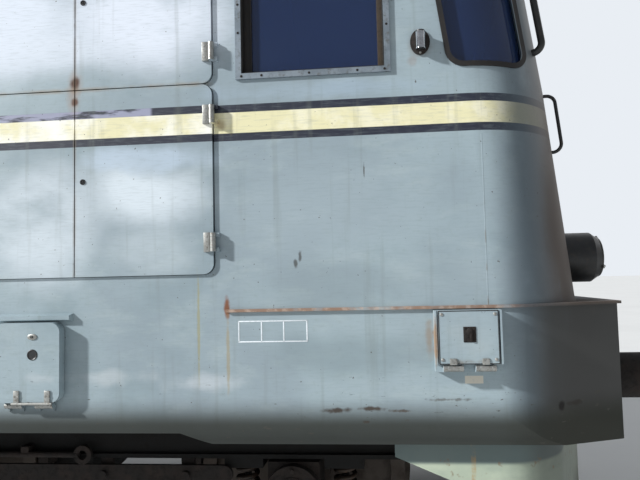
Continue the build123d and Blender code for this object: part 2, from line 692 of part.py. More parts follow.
# Side walls between the cabs, each with its entrance door, windows and louvres; the hatch is near side
with BuildPart() as flap_fittings_near:
    for hinge in FLAP_HINGES:
        fixed_knuckles(hinge, DOOR_GAP)
    with BuildSketch(side_plane(NEAR)):
        with Locations(((DRIP_START_X + DRIP_END_X) / 2, LEDGE_Z - DRIP_DROP)):
            Rectangle(DRIP_END_X - DRIP_START_X, DRIP_HEIGHT)
    extrude(amount=DRIP_PROUD, dir=(0, NEAR, 0), taper=DRIP_TAPER)
foot_cut = [
    (-FOOT_RISE_START_X, SKIRT_BOTTOM_Z),
    (-FOOT_RISE_END_X, MID_BOTTOM_Z),
    (FOOT_RISE_END_X, MID_BOTTOM_Z),
    (FOOT_RISE_START_X, SKIRT_BOTTOM_Z),
]
for side, name in ((NEAR, "side_wall_near"), (FAR, "side_wall_far")):
    with BuildPart() as side_wall:
        add(foot_section(0, WALL))
        extrude(amount=2 * CAB_JOINT_X, dir=(1, 0, 0))
        with BuildSketch(ACROSS):
            with BuildLine():
                Polyline(*foot_cut, close=True)
            make_face()
        extrude(amount=CLEAR_ACROSS, dir=(0, 1, 0), mode=Mode.SUBTRACT)
        with BuildSketch(side_plane(FAR)):
            with Locations(((DOOR_START_X + DOOR_END_X) / 2, (DOOR_BOTTOM_Z + DOOR_TOP_Z) / 2)):
                RectangleRounded(DOOR_WIDTH, DOOR_TOP_Z - DOOR_BOTTOM_Z, HATCH_CORNER)
        extrude(amount=WALL, dir=(0, -1, 0), mode=Mode.SUBTRACT)
        for hinge in FAR_DOOR_HINGES:
            fixed_knuckles(hinge)
        add(turned(flap_fittings_near.part))
        if side == NEAR:
            add(turned(side_wall.part), mode=Mode.REPLACE)
        with BuildSketch(side_plane(side)):
            with Locations(*((x, LOUVRE_Z) for x in COOLER_X)):
                Rectangle(LOUVRE_WIDTH, LOUVRE_HEIGHT)
        extrude(amount=WALL, dir=(0, -side, 0), mode=Mode.SUBTRACT)
        add(engine_window_outline(side_plane(side), 0))
        extrude(amount=WALL, dir=(0, -side, 0), mode=Mode.SUBTRACT)
        if side == NEAR:
            with BuildSketch(side_plane(NEAR)):
                for low_z, high_z in LEAF_ROWS.values():
                    with Locations(((HATCH_START_X + HATCH_END_X) / 2, (low_z + high_z) / 2)):
                        RectangleRounded(HATCH_END_X - HATCH_START_X, high_z - low_z, HATCH_CORNER)
            extrude(amount=WALL, dir=(0, 1, 0), mode=Mode.SUBTRACT)
            for row in LEAF_HINGE_Z:
                for column in LEAF_PIN_X:
                    for hinge in leaf_hinges(row, column):
                        fixed_knuckles(hinge, HATCH_PROUD)
    save(side_wall, name)

# Entrance door leaves, hung at their front edge and opening inwards
with BuildPart() as entrance_door_far:
    with BuildSketch(side_plane(FAR)):
        with Locations(((DOOR_START_X + DOOR_END_X) / 2, (DOOR_BOTTOM_Z + DOOR_TOP_Z) / 2)):
            RectangleRounded(
                DOOR_WIDTH - 2 * DOOR_GAP, DOOR_TOP_Z - DOOR_BOTTOM_Z - 2 * DOOR_GAP, HATCH_CORNER - DOOR_GAP
            )
        with Locations(((DOOR_START_X + DOOR_END_X) / 2, DOOR_WINDOW_Z)):
            RectangleRounded(DOOR_WINDOW_WIDTH, DOOR_WINDOW_HEIGHT, WINDOW_CORNER, mode=Mode.SUBTRACT)
    extrude(amount=WALL, dir=(0, -1, 0))
    for hinge in FAR_DOOR_HINGES:
        moving_knuckle(hinge)
save(entrance_door_far, "entrance_door_far")

with BuildPart() as entrance_door_near:
    add(turned(entrance_door_far.part))
save(entrance_door_near, "entrance_door_near")

# Panes in the entrance doors, which move with them
with BuildPart() as door_pane_far:
    with BuildSketch(side_plane(FAR, PANE_INSET)):
        with Locations(((DOOR_START_X + DOOR_END_X) / 2, DOOR_WINDOW_Z)):
            RectangleRounded(
                DOOR_WINDOW_WIDTH - 2 * SEAT_GAP, DOOR_WINDOW_HEIGHT - 2 * SEAT_GAP, WINDOW_CORNER - SEAT_GAP
            )
    extrude(amount=PANE, dir=(0, -1, 0))
save(door_pane_far, "door_pane_far")

with BuildPart() as door_pane_near:
    add(turned(door_pane_far.part))
save(door_pane_near, "door_pane_near")

# Hatch leaves, two lower and two upper, each pair with round corners and a little proud of the wall
leaf_columns = {"left": (HATCH_START_X, HATCH_JOINT_X), "right": (HATCH_JOINT_X, HATCH_END_X)}
for row, (low_z, high_z) in LEAF_ROWS.items():
    for column, (start_x, end_x) in leaf_columns.items():
        with BuildPart() as hatch_leaf:
            with BuildSketch(side_plane(NEAR, -HATCH_PROUD)):
                with Locations(((HATCH_START_X + HATCH_END_X) / 2, (low_z + high_z) / 2)):
                    RectangleRounded(
                        HATCH_END_X - HATCH_START_X - 2 * DOOR_GAP,
                        high_z - low_z - DOOR_GAP,
                        HATCH_CORNER - DOOR_GAP,
                    )
                with Locations(((start_x + end_x) / 2, (low_z + high_z) / 2)):
                    Rectangle(end_x - start_x - DOOR_GAP, high_z - low_z, mode=Mode.INTERSECT)
            extrude(amount=HATCH_PROUD + WALL, dir=(0, 1, 0))
            for hinge in leaf_hinges(row, column):
                moving_knuckle(hinge)
        save(hatch_leaf, f"hatch_leaf_{row}_{column}")

# Roof between the cabs, with the two fan wells and the exhaust cut through it
with BuildPart() as roof:
    add(body_section(0, EAVES_Z))
    extrude(amount=CAB_JOINT_X, dir=(1, 0, 0))
    add(body_section(WALL, EAVES_Z - WALL))
    extrude(amount=CAB_JOINT_X, dir=(1, 0, 0), mode=Mode.SUBTRACT)
    with BuildSketch(Plane.YZ):
        for side in (NEAR, FAR):
            with Locations((side * HALF_WIDTH, EAVES_Z + GUTTER_HEIGHT / 2)):
                Rectangle(2 * GUTTER_PROUD, GUTTER_HEIGHT)
    extrude(amount=CAB_JOINT_X)
    mirror(about=Plane.YZ)
    with BuildSketch(Plane.XY.offset(EAVES_Z)):
        with Locations(*((x, 0) for x in COOLER_X)):
            Circle(DUCT_RADIUS + DUCT_WALL + SEAT_GAP)
        with Locations((EXHAUST_X, 0)):
            SlotOverall(EXHAUST_LENGTH + 2 * SEAT_GAP, EXHAUST_WIDTH + 2 * SEAT_GAP)
    extrude(amount=ROOF_Z, mode=Mode.SUBTRACT)
save(roof, "roof")

# Removable roof hatches over the engine, raised panels that follow the roof's curve
with BuildPart() as roof_hatches:
    for start_x in HATCH_LID_STARTS:
        add(body_section(-HATCH_LID_RISE, EAVES_Z).moved(Location((start_x, 0, 0))))
        extrude(amount=HATCH_LID_LENGTH, dir=(1, 0, 0))
    add(body_section(-SEAT_GAP, EAVES_Z - WALL).moved(Location((-CAB_JOINT_X, 0, 0))))
    extrude(amount=2 * CAB_JOINT_X, dir=(1, 0, 0), mode=Mode.SUBTRACT)
    with BuildSketch(Plane.XY.offset(EAVES_Z)):
        Rectangle(2 * CAB_JOINT_X, 2 * HATCH_LID_REACH_Y)
    extrude(amount=ROOF_Z, mode=Mode.INTERSECT)
    with BuildSketch(Plane.XY.offset(EAVES_Z)):
        with Locations((EXHAUST_X, 0)):
            SlotOverall(EXHAUST_LENGTH + 2 * SEAT_GAP, EXHAUST_WIDTH + 2 * SEAT_GAP)
    extrude(amount=ROOF_Z, mode=Mode.SUBTRACT)
save(roof_hatches, "roof_hatches")

# Exhaust outlet: an open oval stack from the engine's silencer through the roof
with BuildPart() as exhaust:
    with BuildSketch(Plane.XY.offset(LEDGE_Z + ENGINE_HEIGHT)):
        with Locations((EXHAUST_X, 0)):
            SlotOverall(EXHAUST_LENGTH, EXHAUST_WIDTH)
            SlotOverall(
                EXHAUST_LENGTH - 2 * EXHAUST_WALL, EXHAUST_WIDTH - 2 * EXHAUST_WALL, mode=Mode.SUBTRACT
            )
    extrude(amount=ROOF_Z + EXHAUST_RISE - LEDGE_Z - ENGINE_HEIGHT)
save(exhaust, "exhaust")

# Fan ducts: a ring with a grille on top, and the motor on its arms below the fan
fan_base_z = ROOF_Z - DUCT_DROP
motor_top_z = fan_base_z + FAN_MOTOR_HEIGHT
fan_low_z = motor_top_z + DOOR_GAP
with BuildPart() as fan_ducts:
    for x in COOLER_X:
        with BuildSketch(Plane.XY.offset(fan_base_z)):
            with Locations((x, 0)):
                Circle(DUCT_RADIUS + DUCT_WALL)
                Circle(DUCT_RADIUS, mode=Mode.SUBTRACT)
        extrude(amount=DUCT_DROP + DUCT_RISE)
        with BuildSketch(Plane.XY.offset(fan_base_z)):
            with Locations((x, 0)):
                Rectangle(2 * DUCT_RADIUS + DUCT_WALL, FAN_ARM)
                Rectangle(FAN_ARM, 2 * DUCT_RADIUS + DUCT_WALL)
        extrude(amount=FAN_ARM)
        with BuildSketch(Plane.XY.offset(fan_base_z)):
            with Locations((x, 0)):
                Circle(FAN_HUB_RADIUS)
        extrude(amount=FAN_MOTOR_HEIGHT)
        with BuildSketch(Plane.XY.offset(fan_base_z)):
            with Locations((x, 0)):
                Circle(FAN_SHAFT_RADIUS)
        extrude(amount=FAN_MOTOR_HEIGHT + DOOR_GAP + FAN_HUB_HEIGHT)
        with BuildSketch(Plane.XY.offset(ROOF_Z + DUCT_RISE - GRILLE_BAR)):
            with Locations((x, 0)):
                with GridLocations(0, 2 * DUCT_RADIUS / (GRILLE_BARS + 1), 1, GRILLE_BARS):
                    Rectangle(2 * DUCT_RADIUS + DUCT_WALL, GRILLE_BAR)
                Circle(DUCT_RADIUS + DUCT_WALL / 2, mode=Mode.INTERSECT)
        extrude(amount=GRILLE_BAR)
save(fan_ducts, "fan_ducts")

# Roof fans: pitched blades on a hub that is bored for the motor's shaft
for number, x in enumerate(COOLER_X, start=1):
    with BuildPart() as roof_fan:
        with BuildSketch(Plane.XY.offset(fan_low_z)):
            with Locations((x, 0)):
                Circle(FAN_HUB_RADIUS)
        extrude(amount=FAN_HUB_HEIGHT)
        blade_root = FAN_HUB_RADIUS - DUCT_WALL
        for turn in range(FAN_BLADES):
            angle = 360 / FAN_BLADES * turn
            spoke = Plane(
                origin=(x, 0, fan_low_z + FAN_HUB_HEIGHT / 2),
                x_dir=(-math.sin(math.radians(angle)), math.cos(math.radians(angle)), 0),
                z_dir=(math.cos(math.radians(angle)), math.sin(math.radians(angle)), 0),
            )
            with BuildSketch(spoke.offset(blade_root)):
                Rectangle(FAN_BLADE_CHORD, FAN_BLADE_THICKNESS, rotation=FAN_PITCH)
            extrude(amount=FAN_RADIUS - blade_root)
        with BuildSketch(Plane.XY.offset(fan_low_z - FAN_HUB_HEIGHT)):
            with Locations((x, 0)):
                Circle(FAN_RADIUS)
        extrude(amount=3 * FAN_HUB_HEIGHT, mode=Mode.INTERSECT)
        with BuildSketch(Plane.XY.offset(fan_low_z)):
            with Locations((x, 0)):
                Circle(FAN_SHAFT_RADIUS + PIN_GAP)
        extrude(amount=FAN_HUB_HEIGHT, mode=Mode.SUBTRACT)
    save(roof_fan, f"roof_fan_{number}")

# Louvres: tilted slats across a rim, set in the side walls beside the cooling group
slat_pitch = (LOUVRE_HEIGHT - 2 * LOUVRE_RIM) / LOUVRE_SLATS
with BuildPart() as louvres:
    for side in (NEAR, FAR):
        for x in COOLER_X:
            with BuildSketch(side_plane(side)):
                with Locations((x, LOUVRE_Z)):
                    Rectangle(LOUVRE_WIDTH - 2 * SEAT_GAP, LOUVRE_HEIGHT - 2 * SEAT_GAP)
                    Rectangle(
                        LOUVRE_WIDTH - 2 * LOUVRE_RIM, LOUVRE_HEIGHT - 2 * LOUVRE_RIM, mode=Mode.SUBTRACT
                    )
            extrude(amount=WALL, dir=(0, -side, 0))
            with BuildSketch(Plane.YZ.offset(x - LOUVRE_WIDTH / 2 + LOUVRE_RIM / 2)):
                with Locations((side * (HALF_WIDTH - WALL / 2), LOUVRE_Z)):
                    with GridLocations(0, slat_pitch, 1, LOUVRE_SLATS):
                        Rectangle(WALL, LOUVRE_SLAT, rotation=-side * LOUVRE_TILT)
            extrude(amount=LOUVRE_WIDTH - LOUVRE_RIM)
save(louvres, "louvres")

# Skirts below the ledge, with a faceted front corner, the headstock plate and the deck with its lip
skirt_plan = [
    (CAB_JOINT_X - FORM_MARGIN, 0),
    (CAB_JOINT_X - FORM_MARGIN, HALF_WIDTH),
    (FACET_START_X, HALF_WIDTH),
    (HEADSTOCK_X, FACET_END_Y),
    (HEADSTOCK_X, 0),
]


def skirt_outline(grow, level):
    """Plan of cab A's skirt at a level, grown outwards or inwards, and open-ended at the cab joint."""
    with BuildSketch(Plane.XY.offset(level)) as outline:
        with BuildLine():
            Polyline(*skirt_plan)
            mirror(about=Plane.XZ)
        make_face()
        bends = outline.vertices().filter_by_position(Axis.X, FACET_START_X - 1, FACET_START_X + 1)
        fillet(bends, radius=FACET_BEND)
        if grow:
            offset(amount=grow, kind=Kind.INTERSECTION, mode=Mode.REPLACE)
        with Locations((CAB_JOINT_X + HEADSTOCK_X / 2, 0)):
            Rectangle(HEADSTOCK_X, 2 * BODY_WIDTH, mode=Mode.INTERSECT)
    return outline.sketch


def tucked_section(inset):
    """Section of the skirt below the ledge, whose sides tuck in at the foot, inset from the skin."""
    with BuildSketch(Plane.YZ.offset(CAB_JOINT_X)) as section:
        with BuildLine():
            foot_y = HALF_WIDTH - FOOT_RADIUS
            skin = CenterArc((foot_y, FOOT_Z), FOOT_RADIUS - inset, -FOOT_TURN, FOOT_TURN)
            Polyline(skin @ 1, (HALF_WIDTH - inset, LEDGE_Z), (0, LEDGE_Z))
            low_z = SKIRT_BOTTOM_Z - WALL
            Polyline(skin @ 0, ((skin @ 0).X, low_z), (0, low_z))
            mirror(about=Plane.YZ)
        make_face()
    return section.sketch


def skirt_form(inset):
    """Solid form of the skirt, inset from its skin."""
    with BuildPart() as form:
        add(skirt_outline(-inset, SKIRT_BOTTOM_Z))
        extrude(amount=LEDGE_Z - SKIRT_BOTTOM_Z, dir=(0, 0, 1))
        add(tucked_section(inset))
        extrude(amount=HEADSTOCK_X, dir=(1, 0, 0), mode=Mode.INTERSECT)
    return form.part


skirt_lining = skirt_form(WALL)
socket_middle = ((SOCKET_START_X + SOCKET_END_X) / 2, (SOCKET_BOTTOM_Z + SOCKET_TOP_Z) / 2)
socket_size = (SOCKET_END_X - SOCKET_START_X, SOCKET_TOP_Z - SOCKET_BOTTOM_Z)
socket_lid_middle = (socket_middle[0], socket_middle[1] + SOCKET_APRON / 2)
socket_lid_size = (socket_size[0] - 2 * (SOCKET_CHEEK + DOOR_GAP), socket_size[1] - SOCKET_APRON)
with BuildPart() as skirt_a:
    add(skirt_form(0))
    add(skirt_lining, mode=Mode.SUBTRACT)
    add(skirt_outline(LIP, LEDGE_Z - DECK_THICKNESS))
    extrude(amount=DECK_THICKNESS, dir=(0, 0, 1))
    with BuildSketch(side_plane(NEAR)):
        with Locations(socket_middle):
            Rectangle(*socket_size)
    extrude(amount=SOCKET_DEPTH, dir=(0, NEAR, 0))
    with BuildSketch(side_plane(NEAR, -SOCKET_FLOOR)):
        with Locations(socket_lid_middle):
            Rectangle(*(size - 2 * SOCKET_RIM for size in socket_lid_size))
    extrude(amount=SOCKET_DEPTH, dir=(0, NEAR, 0), mode=Mode.SUBTRACT)
    with BuildSketch(side_plane(NEAR, -SOCKET_DEPTH)):
        with Locations(socket_lid_middle):
            Rectangle(socket_size[0], socket_lid_size[1])
            Rectangle(socket_size[0] - 2 * SOCKET_CHEEK, socket_lid_size[1], mode=Mode.SUBTRACT)
    extrude(amount=DOOR_GAP + SOCKET_LID, dir=(0, NEAR, 0))
    for hinge in SOCKET_HINGES:
        fixed_knuckles(hinge, DOOR_GAP, SOCKET_FOOT)
with BuildPart() as end_skirts:
    add(skirt_a.part)
    add(turned(skirt_a.part))
save(end_skirts, "end_skirts")

# Lid of the socket box, hung at its bottom edge in front of the box
with BuildPart() as socket_cover_near:
    with BuildSketch(side_plane(NEAR, -SOCKET_DEPTH - DOOR_GAP)):
        with Locations(socket_lid_middle):
            Rectangle(*socket_lid_size)
    extrude(amount=SOCKET_LID, dir=(0, NEAR, 0))
    for hinge in SOCKET_HINGES:
        moving_knuckle(hinge)
save(socket_cover_near, "socket_cover_near")

with BuildPart() as socket_cover_far:
    add(turned(socket_cover_near.part))
save(socket_cover_far, "socket_cover_far")

# Sand filler flap: a pressed lid hung at its bottom edge
flap_middle = ((FLAP_START_X + FLAP_END_X) / 2, (FLAP_BOTTOM_Z + FLAP_TOP_Z) / 2)
flap_size = (FLAP_END_X - FLAP_START_X, FLAP_TOP_Z - FLAP_BOTTOM_Z)
with BuildPart() as sand_flap_near:
    with BuildSketch(side_plane(NEAR, -DOOR_GAP)):
        with Locations(flap_middle):
            RectangleRounded(*flap_size, FLAP_CORNER)
    extrude(amount=FLAP_DEPTH, dir=(0, NEAR, 0))
    with BuildSketch(side_plane(NEAR, -DOOR_GAP)):
        with Locations(flap_middle):
            RectangleRounded(*(size - 2 * FLAP_PLATE for size in flap_size), FLAP_CORNER - FLAP_PLATE)
    extrude(amount=FLAP_DEPTH - FLAP_PLATE, dir=(0, NEAR, 0), mode=Mode.SUBTRACT)
    for hinge in FLAP_HINGES:
        moving_knuckle(hinge)
save(sand_flap_near, "sand_flap_near")

with BuildPart() as sand_flap_far:
    add(turned(sand_flap_near.part))
save(sand_flap_far, "sand_flap_far")

# Underframe: the deck's box, a draw box behind each headstock, and the pivot pins of the bogies
with BuildPart() as frame_end_a:
    add(skirt_outline(-WALL, FRAME_BOTTOM_Z))
    extrude(amount=LEDGE_Z - DECK_THICKNESS - FRAME_BOTTOM_Z, dir=(0, 0, 1))
    with BuildSketch(Plane.XY.offset(SKIRT_BOTTOM_Z)):
        with Locations((HEADSTOCK_X - WALL - DRAW_BOX_LENGTH / 2, 0)):
            Rectangle(DRAW_BOX_LENGTH, DRAW_BOX_WIDTH)
    extrude(amount=FRAME_BOTTOM_Z - SKIRT_BOTTOM_Z)
    with BuildSketch(Plane.XY.offset(BOLSTER_BOTTOM_Z)):
        with Locations((PIVOT_X, 0)):
            Circle(PIVOT_RADIUS)
    extrude(amount=FRAME_BOTTOM_Z - BOLSTER_BOTTOM_Z)
with BuildPart() as underframe:
    with BuildSketch(Plane.XY.offset(FRAME_BOTTOM_Z)):
        Rectangle(2 * CAB_JOINT_X, 2 * INNER_Y)
    extrude(amount=LEDGE_Z - FRAME_BOTTOM_Z)
    add(frame_end_a.part)
    add(turned(frame_end_a.part))
save(underframe, "underframe")

# Buffers: base plate, case, shank and round head, four in all
buffer_lines = [
    (0, 0),
    (0, BUFFER_CASE_RADIUS),
    (BUFFER_CASE_LENGTH, BUFFER_CASE_RADIUS),
    (BUFFER_CASE_LENGTH, BUFFER_SHANK_RADIUS),
    (BUFFER_FACE_X - HEADSTOCK_X - 2 * BUFFER_HEAD_THICKNESS, BUFFER_SHANK_RADIUS),
    (BUFFER_FACE_X - HEADSTOCK_X - BUFFER_HEAD_THICKNESS, BUFFER_HEAD_RADIUS),
    (BUFFER_FACE_X - HEADSTOCK_X, BUFFER_HEAD_RADIUS),
    (BUFFER_FACE_X - HEADSTOCK_X, 0),
]
with BuildPart() as buffers_a:
    for side in (NEAR, FAR):
        centre = (HEADSTOCK_X, side * BUFFER_Y, BUFFER_Z)
        with BuildSketch(Plane(origin=centre, x_dir=(1, 0, 0), z_dir=(0, -1, 0))):
            with BuildLine():
                Polyline(*buffer_lines, close=True)
            make_face()
        revolve(axis=Axis(centre, (1, 0, 0)))
        with BuildSketch(Plane.YZ.offset(HEADSTOCK_X)):
            with Locations((side * BUFFER_Y, BUFFER_Z)):
                RectangleRounded(BUFFER_PLATE_SIZE, BUFFER_PLATE_SIZE, BUFFER_PLATE)
        extrude(amount=BUFFER_PLATE)
with BuildPart() as buffers:
    add(buffers_a.part)
    add(turned(buffers_a.part))
save(buffers, "buffers")

# Draw hooks with their guard plates and the shackle that hangs in each hook
with BuildPart() as couplings_a:
    with BuildSketch(Plane.YZ.offset(HEADSTOCK_X)):
        with Locations((0, BUFFER_Z)):
            RectangleRounded(BUFFER_PLATE_SIZE, BUFFER_PLATE_SIZE, BUFFER_PLATE)
    extrude(amount=BUFFER_PLATE)
    with BuildSketch(Plane.XZ.offset(-HOOK_THICKNESS / 2)):
        with Locations((HEADSTOCK_X + HOOK_REACH / 2, BUFFER_Z)):
            Rectangle(HOOK_REACH, 2 * HOOK_SHANK)
        with Locations((HEADSTOCK_X + HOOK_REACH, BUFFER_Z)):
            Circle(HOOK_RADIUS)
        with Locations((HEADSTOCK_X + HOOK_REACH, BUFFER_Z + HOOK_THROAT / 2)):
            Circle(HOOK_THROAT, mode=Mode.SUBTRACT)
        with Locations((HEADSTOCK_X + HOOK_REACH - HOOK_RADIUS / 2, BUFFER_Z + HOOK_RADIUS)):
            Rectangle(HOOK_RADIUS, HOOK_RADIUS, mode=Mode.SUBTRACT)
    extrude(amount=HOOK_THICKNESS)
with BuildPart() as couplings:
    add(couplings_a.part)
    add(turned(couplings_a.part))
save(couplings, "couplings")


def plough_outline(inset):
    """Plan of the plough: straight cheeks, round corners and a blunt vee in front, inset from its skin."""
    corner_y = PLOUGH_HALF_WIDTH - PLOUGH_BEND_RADIUS
    with BuildSketch(Plane.XY.offset(PLOUGH_BOTTOM_Z)) as outline:
        with BuildLine():
            corner = CenterArc(
                (PLOUGH_BEND_X, corner_y), PLOUGH_BEND_RADIUS - inset, 90 - PLOUGH_TURN, PLOUGH_TURN
            )
            vee_start = corner @ 0
            tip_x = vee_start.X + vee_start.Y / math.tan(math.radians(PLOUGH_TURN))
            Line(vee_start, (tip_x, 0))
            Polyline(corner @ 1, (PLOUGH_REAR_X, PLOUGH_HALF_WIDTH - inset), (PLOUGH_REAR_X, 0))
            mirror(about=Plane.XZ)
        make_face()
    return outline.sketch


# Ploughs below the headstocks, cut to a rising lower edge at the rear, on plates from the draw box
plough_rise = [
    (PLOUGH_REAR_X, PLOUGH_TOP_Z - PLOUGH_TAIL),
    (PLOUGH_BEND_X, PLOUGH_BEND_Z),
    (PLOUGH_FOOT_X, PLOUGH_BOTTOM_Z),
    (PLOUGH_REAR_X, PLOUGH_BOTTOM_Z),
]
with BuildPart() as plough_blade_a:
    add(plough_outline(0))
    extrude(amount=PLOUGH_TOP_Z - PLOUGH_BOTTOM_Z, dir=(0, 0, 1))
    add(plough_outline(PLOUGH_THICKNESS))
    extrude(amount=PLOUGH_TOP_Z - PLOUGH_BOTTOM_Z, dir=(0, 0, 1), mode=Mode.SUBTRACT)
    with BuildSketch(ACROSS):
        with BuildLine():
            Polyline(*plough_rise, close=True)
        make_face()
    extrude(amount=CLEAR_ACROSS, dir=(0, 1, 0), mode=Mode.SUBTRACT)
with BuildPart() as plough_plates_a:
    with BuildSketch(Plane.XY.offset(PLOUGH_PLATE_Z)):
        for plate_y in (BUFFER_Y, PLOUGH_PLATE_Y, -PLOUGH_PLATE_Y, -BUFFER_Y):
            with Locations((HEADSTOCK_X, plate_y)):
                Rectangle(2 * PLOUGH_PLATE, PLOUGH_THICKNESS)
    extrude(amount=SKIRT_BOTTOM_Z - PLOUGH_PLATE_Z)
    add(plough_outline(0))
    extrude(amount=SKIRT_BOTTOM_Z - PLOUGH_BOTTOM_Z, dir=(0, 0, 1), mode=Mode.INTERSECT)
with BuildPart() as plough_a:
    add(plough_blade_a.part)
    add(plough_plates_a.part)
with BuildPart() as ploughs:
    add(plough_a.part)
    add(turned(plough_a.part))
save(ploughs, "ploughs")

# Lamps: two headlamp drums and a marker lamp on each side of a nose, and one lamp above the windscreens
with BuildPart() as lamps_a:
    for side in (NEAR, FAR):
        with BuildSketch(Plane.YZ.offset(HEADLAMP_END_X - HEADLAMP_TAPER)):
            with Locations((side * HEADLAMP_Y, HEADLAMP_Z)):
                Circle(HEADLAMP_RADIUS)
        extrude(amount=HEADLAMP_END_X - NOSE_X + FORM_MARGIN, dir=(-1, 0, 0))
        with BuildSketch(Plane.YZ.offset(HEADLAMP_END_X - HEADLAMP_TAPER)):
            with Locations((side * HEADLAMP_Y, HEADLAMP_Z)):
                Circle(HEADLAMP_RADIUS)
        extrude(amount=HEADLAMP_TAPER, taper=HEADLAMP_SLOPE)
        with BuildSketch(side_plane(side)):
            with Locations((MARKER_X, MARKER_Z)):
                Ellipse(*MARKER_BASE_RADII)
        extrude(amount=MARKER_BASE, dir=(0, side, 0))
        with BuildSketch(side_plane(side)):
            with Locations((MARKER_X, MARKER_Z + MARKER_RADIUS / 2)):
                Rectangle(MARKER_RADIUS, MARKER_RADIUS)
        extrude(amount=MARKER_STAND_OFF, dir=(0, side, 0))
        with BuildSketch(Plane.XY.offset(MARKER_Z - MARKER_HEIGHT / 2)):
            with Locations((MARKER_X, side * (HALF_WIDTH + MARKER_STAND_OFF))):
                Circle(MARKER_RADIUS)
        extrude(amount=MARKER_HEIGHT)
    top_lamp_x = NOSE_X + nose_shift(TOP_LAMP_Z) + TOP_LAMP_PROUD
    with BuildSketch(Plane.YZ.offset(top_lamp_x)):
        with Locations((0, TOP_LAMP_Z)):
            Circle(TOP_LAMP_RADIUS)
    extrude(amount=FORM_MARGIN, dir=(-1, 0, 0))
    add(clear_form, mode=Mode.SUBTRACT)
with BuildPart() as lamps:
    add(lamps_a.part)
    add(turned(lamps_a.part))
save(lamps, "lamps")


def nose_point(turn, level, stand_off):
    """Point off the round nose corner of cab A on the far side, at a turn from straight ahead."""
    radius = CORNER_RADIUS + stand_off
    return (
        CORNER_X + nose_shift(level) + radius * math.cos(math.radians(turn)),
        CORNER_Y + radius * math.sin(math.radians(turn)),
        level,
    )


# Handrails of cab A's far side: the nose rail, the grab rail below it, and two rails beside the door
nose_rails = [
    (RAIL_RADIUS, NOSE_RAIL_TURN, NOSE_RAIL_STAND_OFF, NOSE_RAIL_LOW_Z, NOSE_RAIL_HIGH_Z),
    (GRAB_RADIUS, GRAB_TURN, GRAB_STAND_OFF, GRAB_LOW_Z, GRAB_HIGH_Z),
]
door_routes = [
    [(x, HALF_WIDTH + off, level) for level, off in (
        (DOOR_RAIL_LOW_Z, SEAT_GAP), (DOOR_RAIL_LOW_Z, RAIL_STAND_OFF),
        (DOOR_RAIL_HIGH_Z, RAIL_STAND_OFF), (DOOR_RAIL_HIGH_Z, SEAT_GAP)
    )]
    for x in (DOOR_START_X - DOOR_RAIL_X, DOOR_END_X + DOOR_RAIL_X)
]
with BuildPart() as rails_a:
    for radius, turn, stand_off, low_z, high_z in nose_rails:
        route = [
            nose_point(turn, low_z, -RAIL_SINK),
            nose_point(turn, low_z, stand_off),
            nose_point(turn, high_z, stand_off),
            nose_point(turn, high_z, -RAIL_SINK),
        ]
        with BuildLine() as rail_path:
            FilletPolyline(*route, radius=RAIL_BEND)
        with BuildSketch(Plane(origin=rail_path.line @ 0, z_dir=rail_path.line % 0)):
            Circle(radius)
        sweep()
    mirror(about=Plane.XZ)
    for route in door_routes:
        with BuildLine() as rail_path:
            FilletPolyline(*route, radius=RAIL_BEND)
        with BuildSketch(Plane(origin=rail_path.line @ 0, z_dir=rail_path.line % 0)):
            Circle(RAIL_RADIUS)
        sweep()
    add(clear_form, mode=Mode.SUBTRACT)
with BuildPart() as handrails:
    add(rails_a.part)
    add(turned(rails_a.part))
save(handrails, "handrails")

# Steps below the entrance doors: two side plates and two treads, from the side wall's foot
step_ends_x = (DOOR_START_X, FOOT_RISE_END_X - STEP_PLATE)
step_middle_y = HALF_WIDTH - STEP_INSET - STEP_DEPTH / 2
with BuildPart() as steps_far:
    with BuildSketch(Plane.XY.offset(STEP_LOW_Z)):
        with Locations(*((x, step_middle_y) for x in step_ends_x)):
            Rectangle(STEP_PLATE, STEP_DEPTH)
    extrude(amount=MID_BOTTOM_Z - STEP_LOW_Z)
    for tread_z in STEP_TREADS_Z:
        with BuildSketch(Plane.XY.offset(tread_z)):
            with Locations((sum(step_ends_x) / 2, step_middle_y)):
                Rectangle(step_ends_x[1] - step_ends_x[0], STEP_DEPTH)
        extrude(amount=STEP_PLATE)
with BuildPart() as steps:
    add(steps_far.part)
    add(turned(steps_far.part))
save(steps, "steps")

# Horns: a pair of trumpets on posts on each cab roof
with BuildPart() as horns_a:
    for side in (NEAR, FAR):
        with BuildSketch(Plane.XZ.offset(-side * HORN_Y)):
            with BuildLine():
                Polyline(
                    (HORN_X, ROOF_Z + HORN_RISE),
                    (HORN_X, ROOF_Z + HORN_RISE + HORN_RADIUS / 3),
                    (HORN_X + HORN_WAIST, ROOF_Z + HORN_RISE + HORN_RADIUS / 2),
                    (HORN_X + HORN_LENGTH, ROOF_Z + HORN_RISE + HORN_RADIUS),
                    (HORN_X + HORN_LENGTH, ROOF_Z + HORN_RISE),
                    close=True,
                )
            make_face()
        revolve(axis=Axis((HORN_X, side * HORN_Y, ROOF_Z + HORN_RISE), (1, 0, 0)))
        with BuildSketch(Plane.XY.offset(ROOF_Z + HORN_RISE)):
            with Locations((HORN_X + 2 * HORN_POST, side * HORN_Y)):
                Circle(HORN_POST)
        extrude(amount=2 * HORN_RISE, dir=(0, 0, -1))
    add(clear_form, mode=Mode.SUBTRACT)
with BuildPart() as horns:
    add(horns_a.part)
    add(turned(horns_a.part))
save(horns, "horns")

# Bulkheads behind the cabs, fitted to the body's lining
with BuildPart() as bulkheads:
    for start_x in (CAB_JOINT_X - BULKHEAD, -CAB_JOINT_X):
        add(body_section(WALL + SEAT_GAP, LEDGE_Z).moved(Location((start_x, 0, 0))))
        extrude(amount=BULKHEAD, dir=(1, 0, 0))
save(bulkheads, "bulkheads")

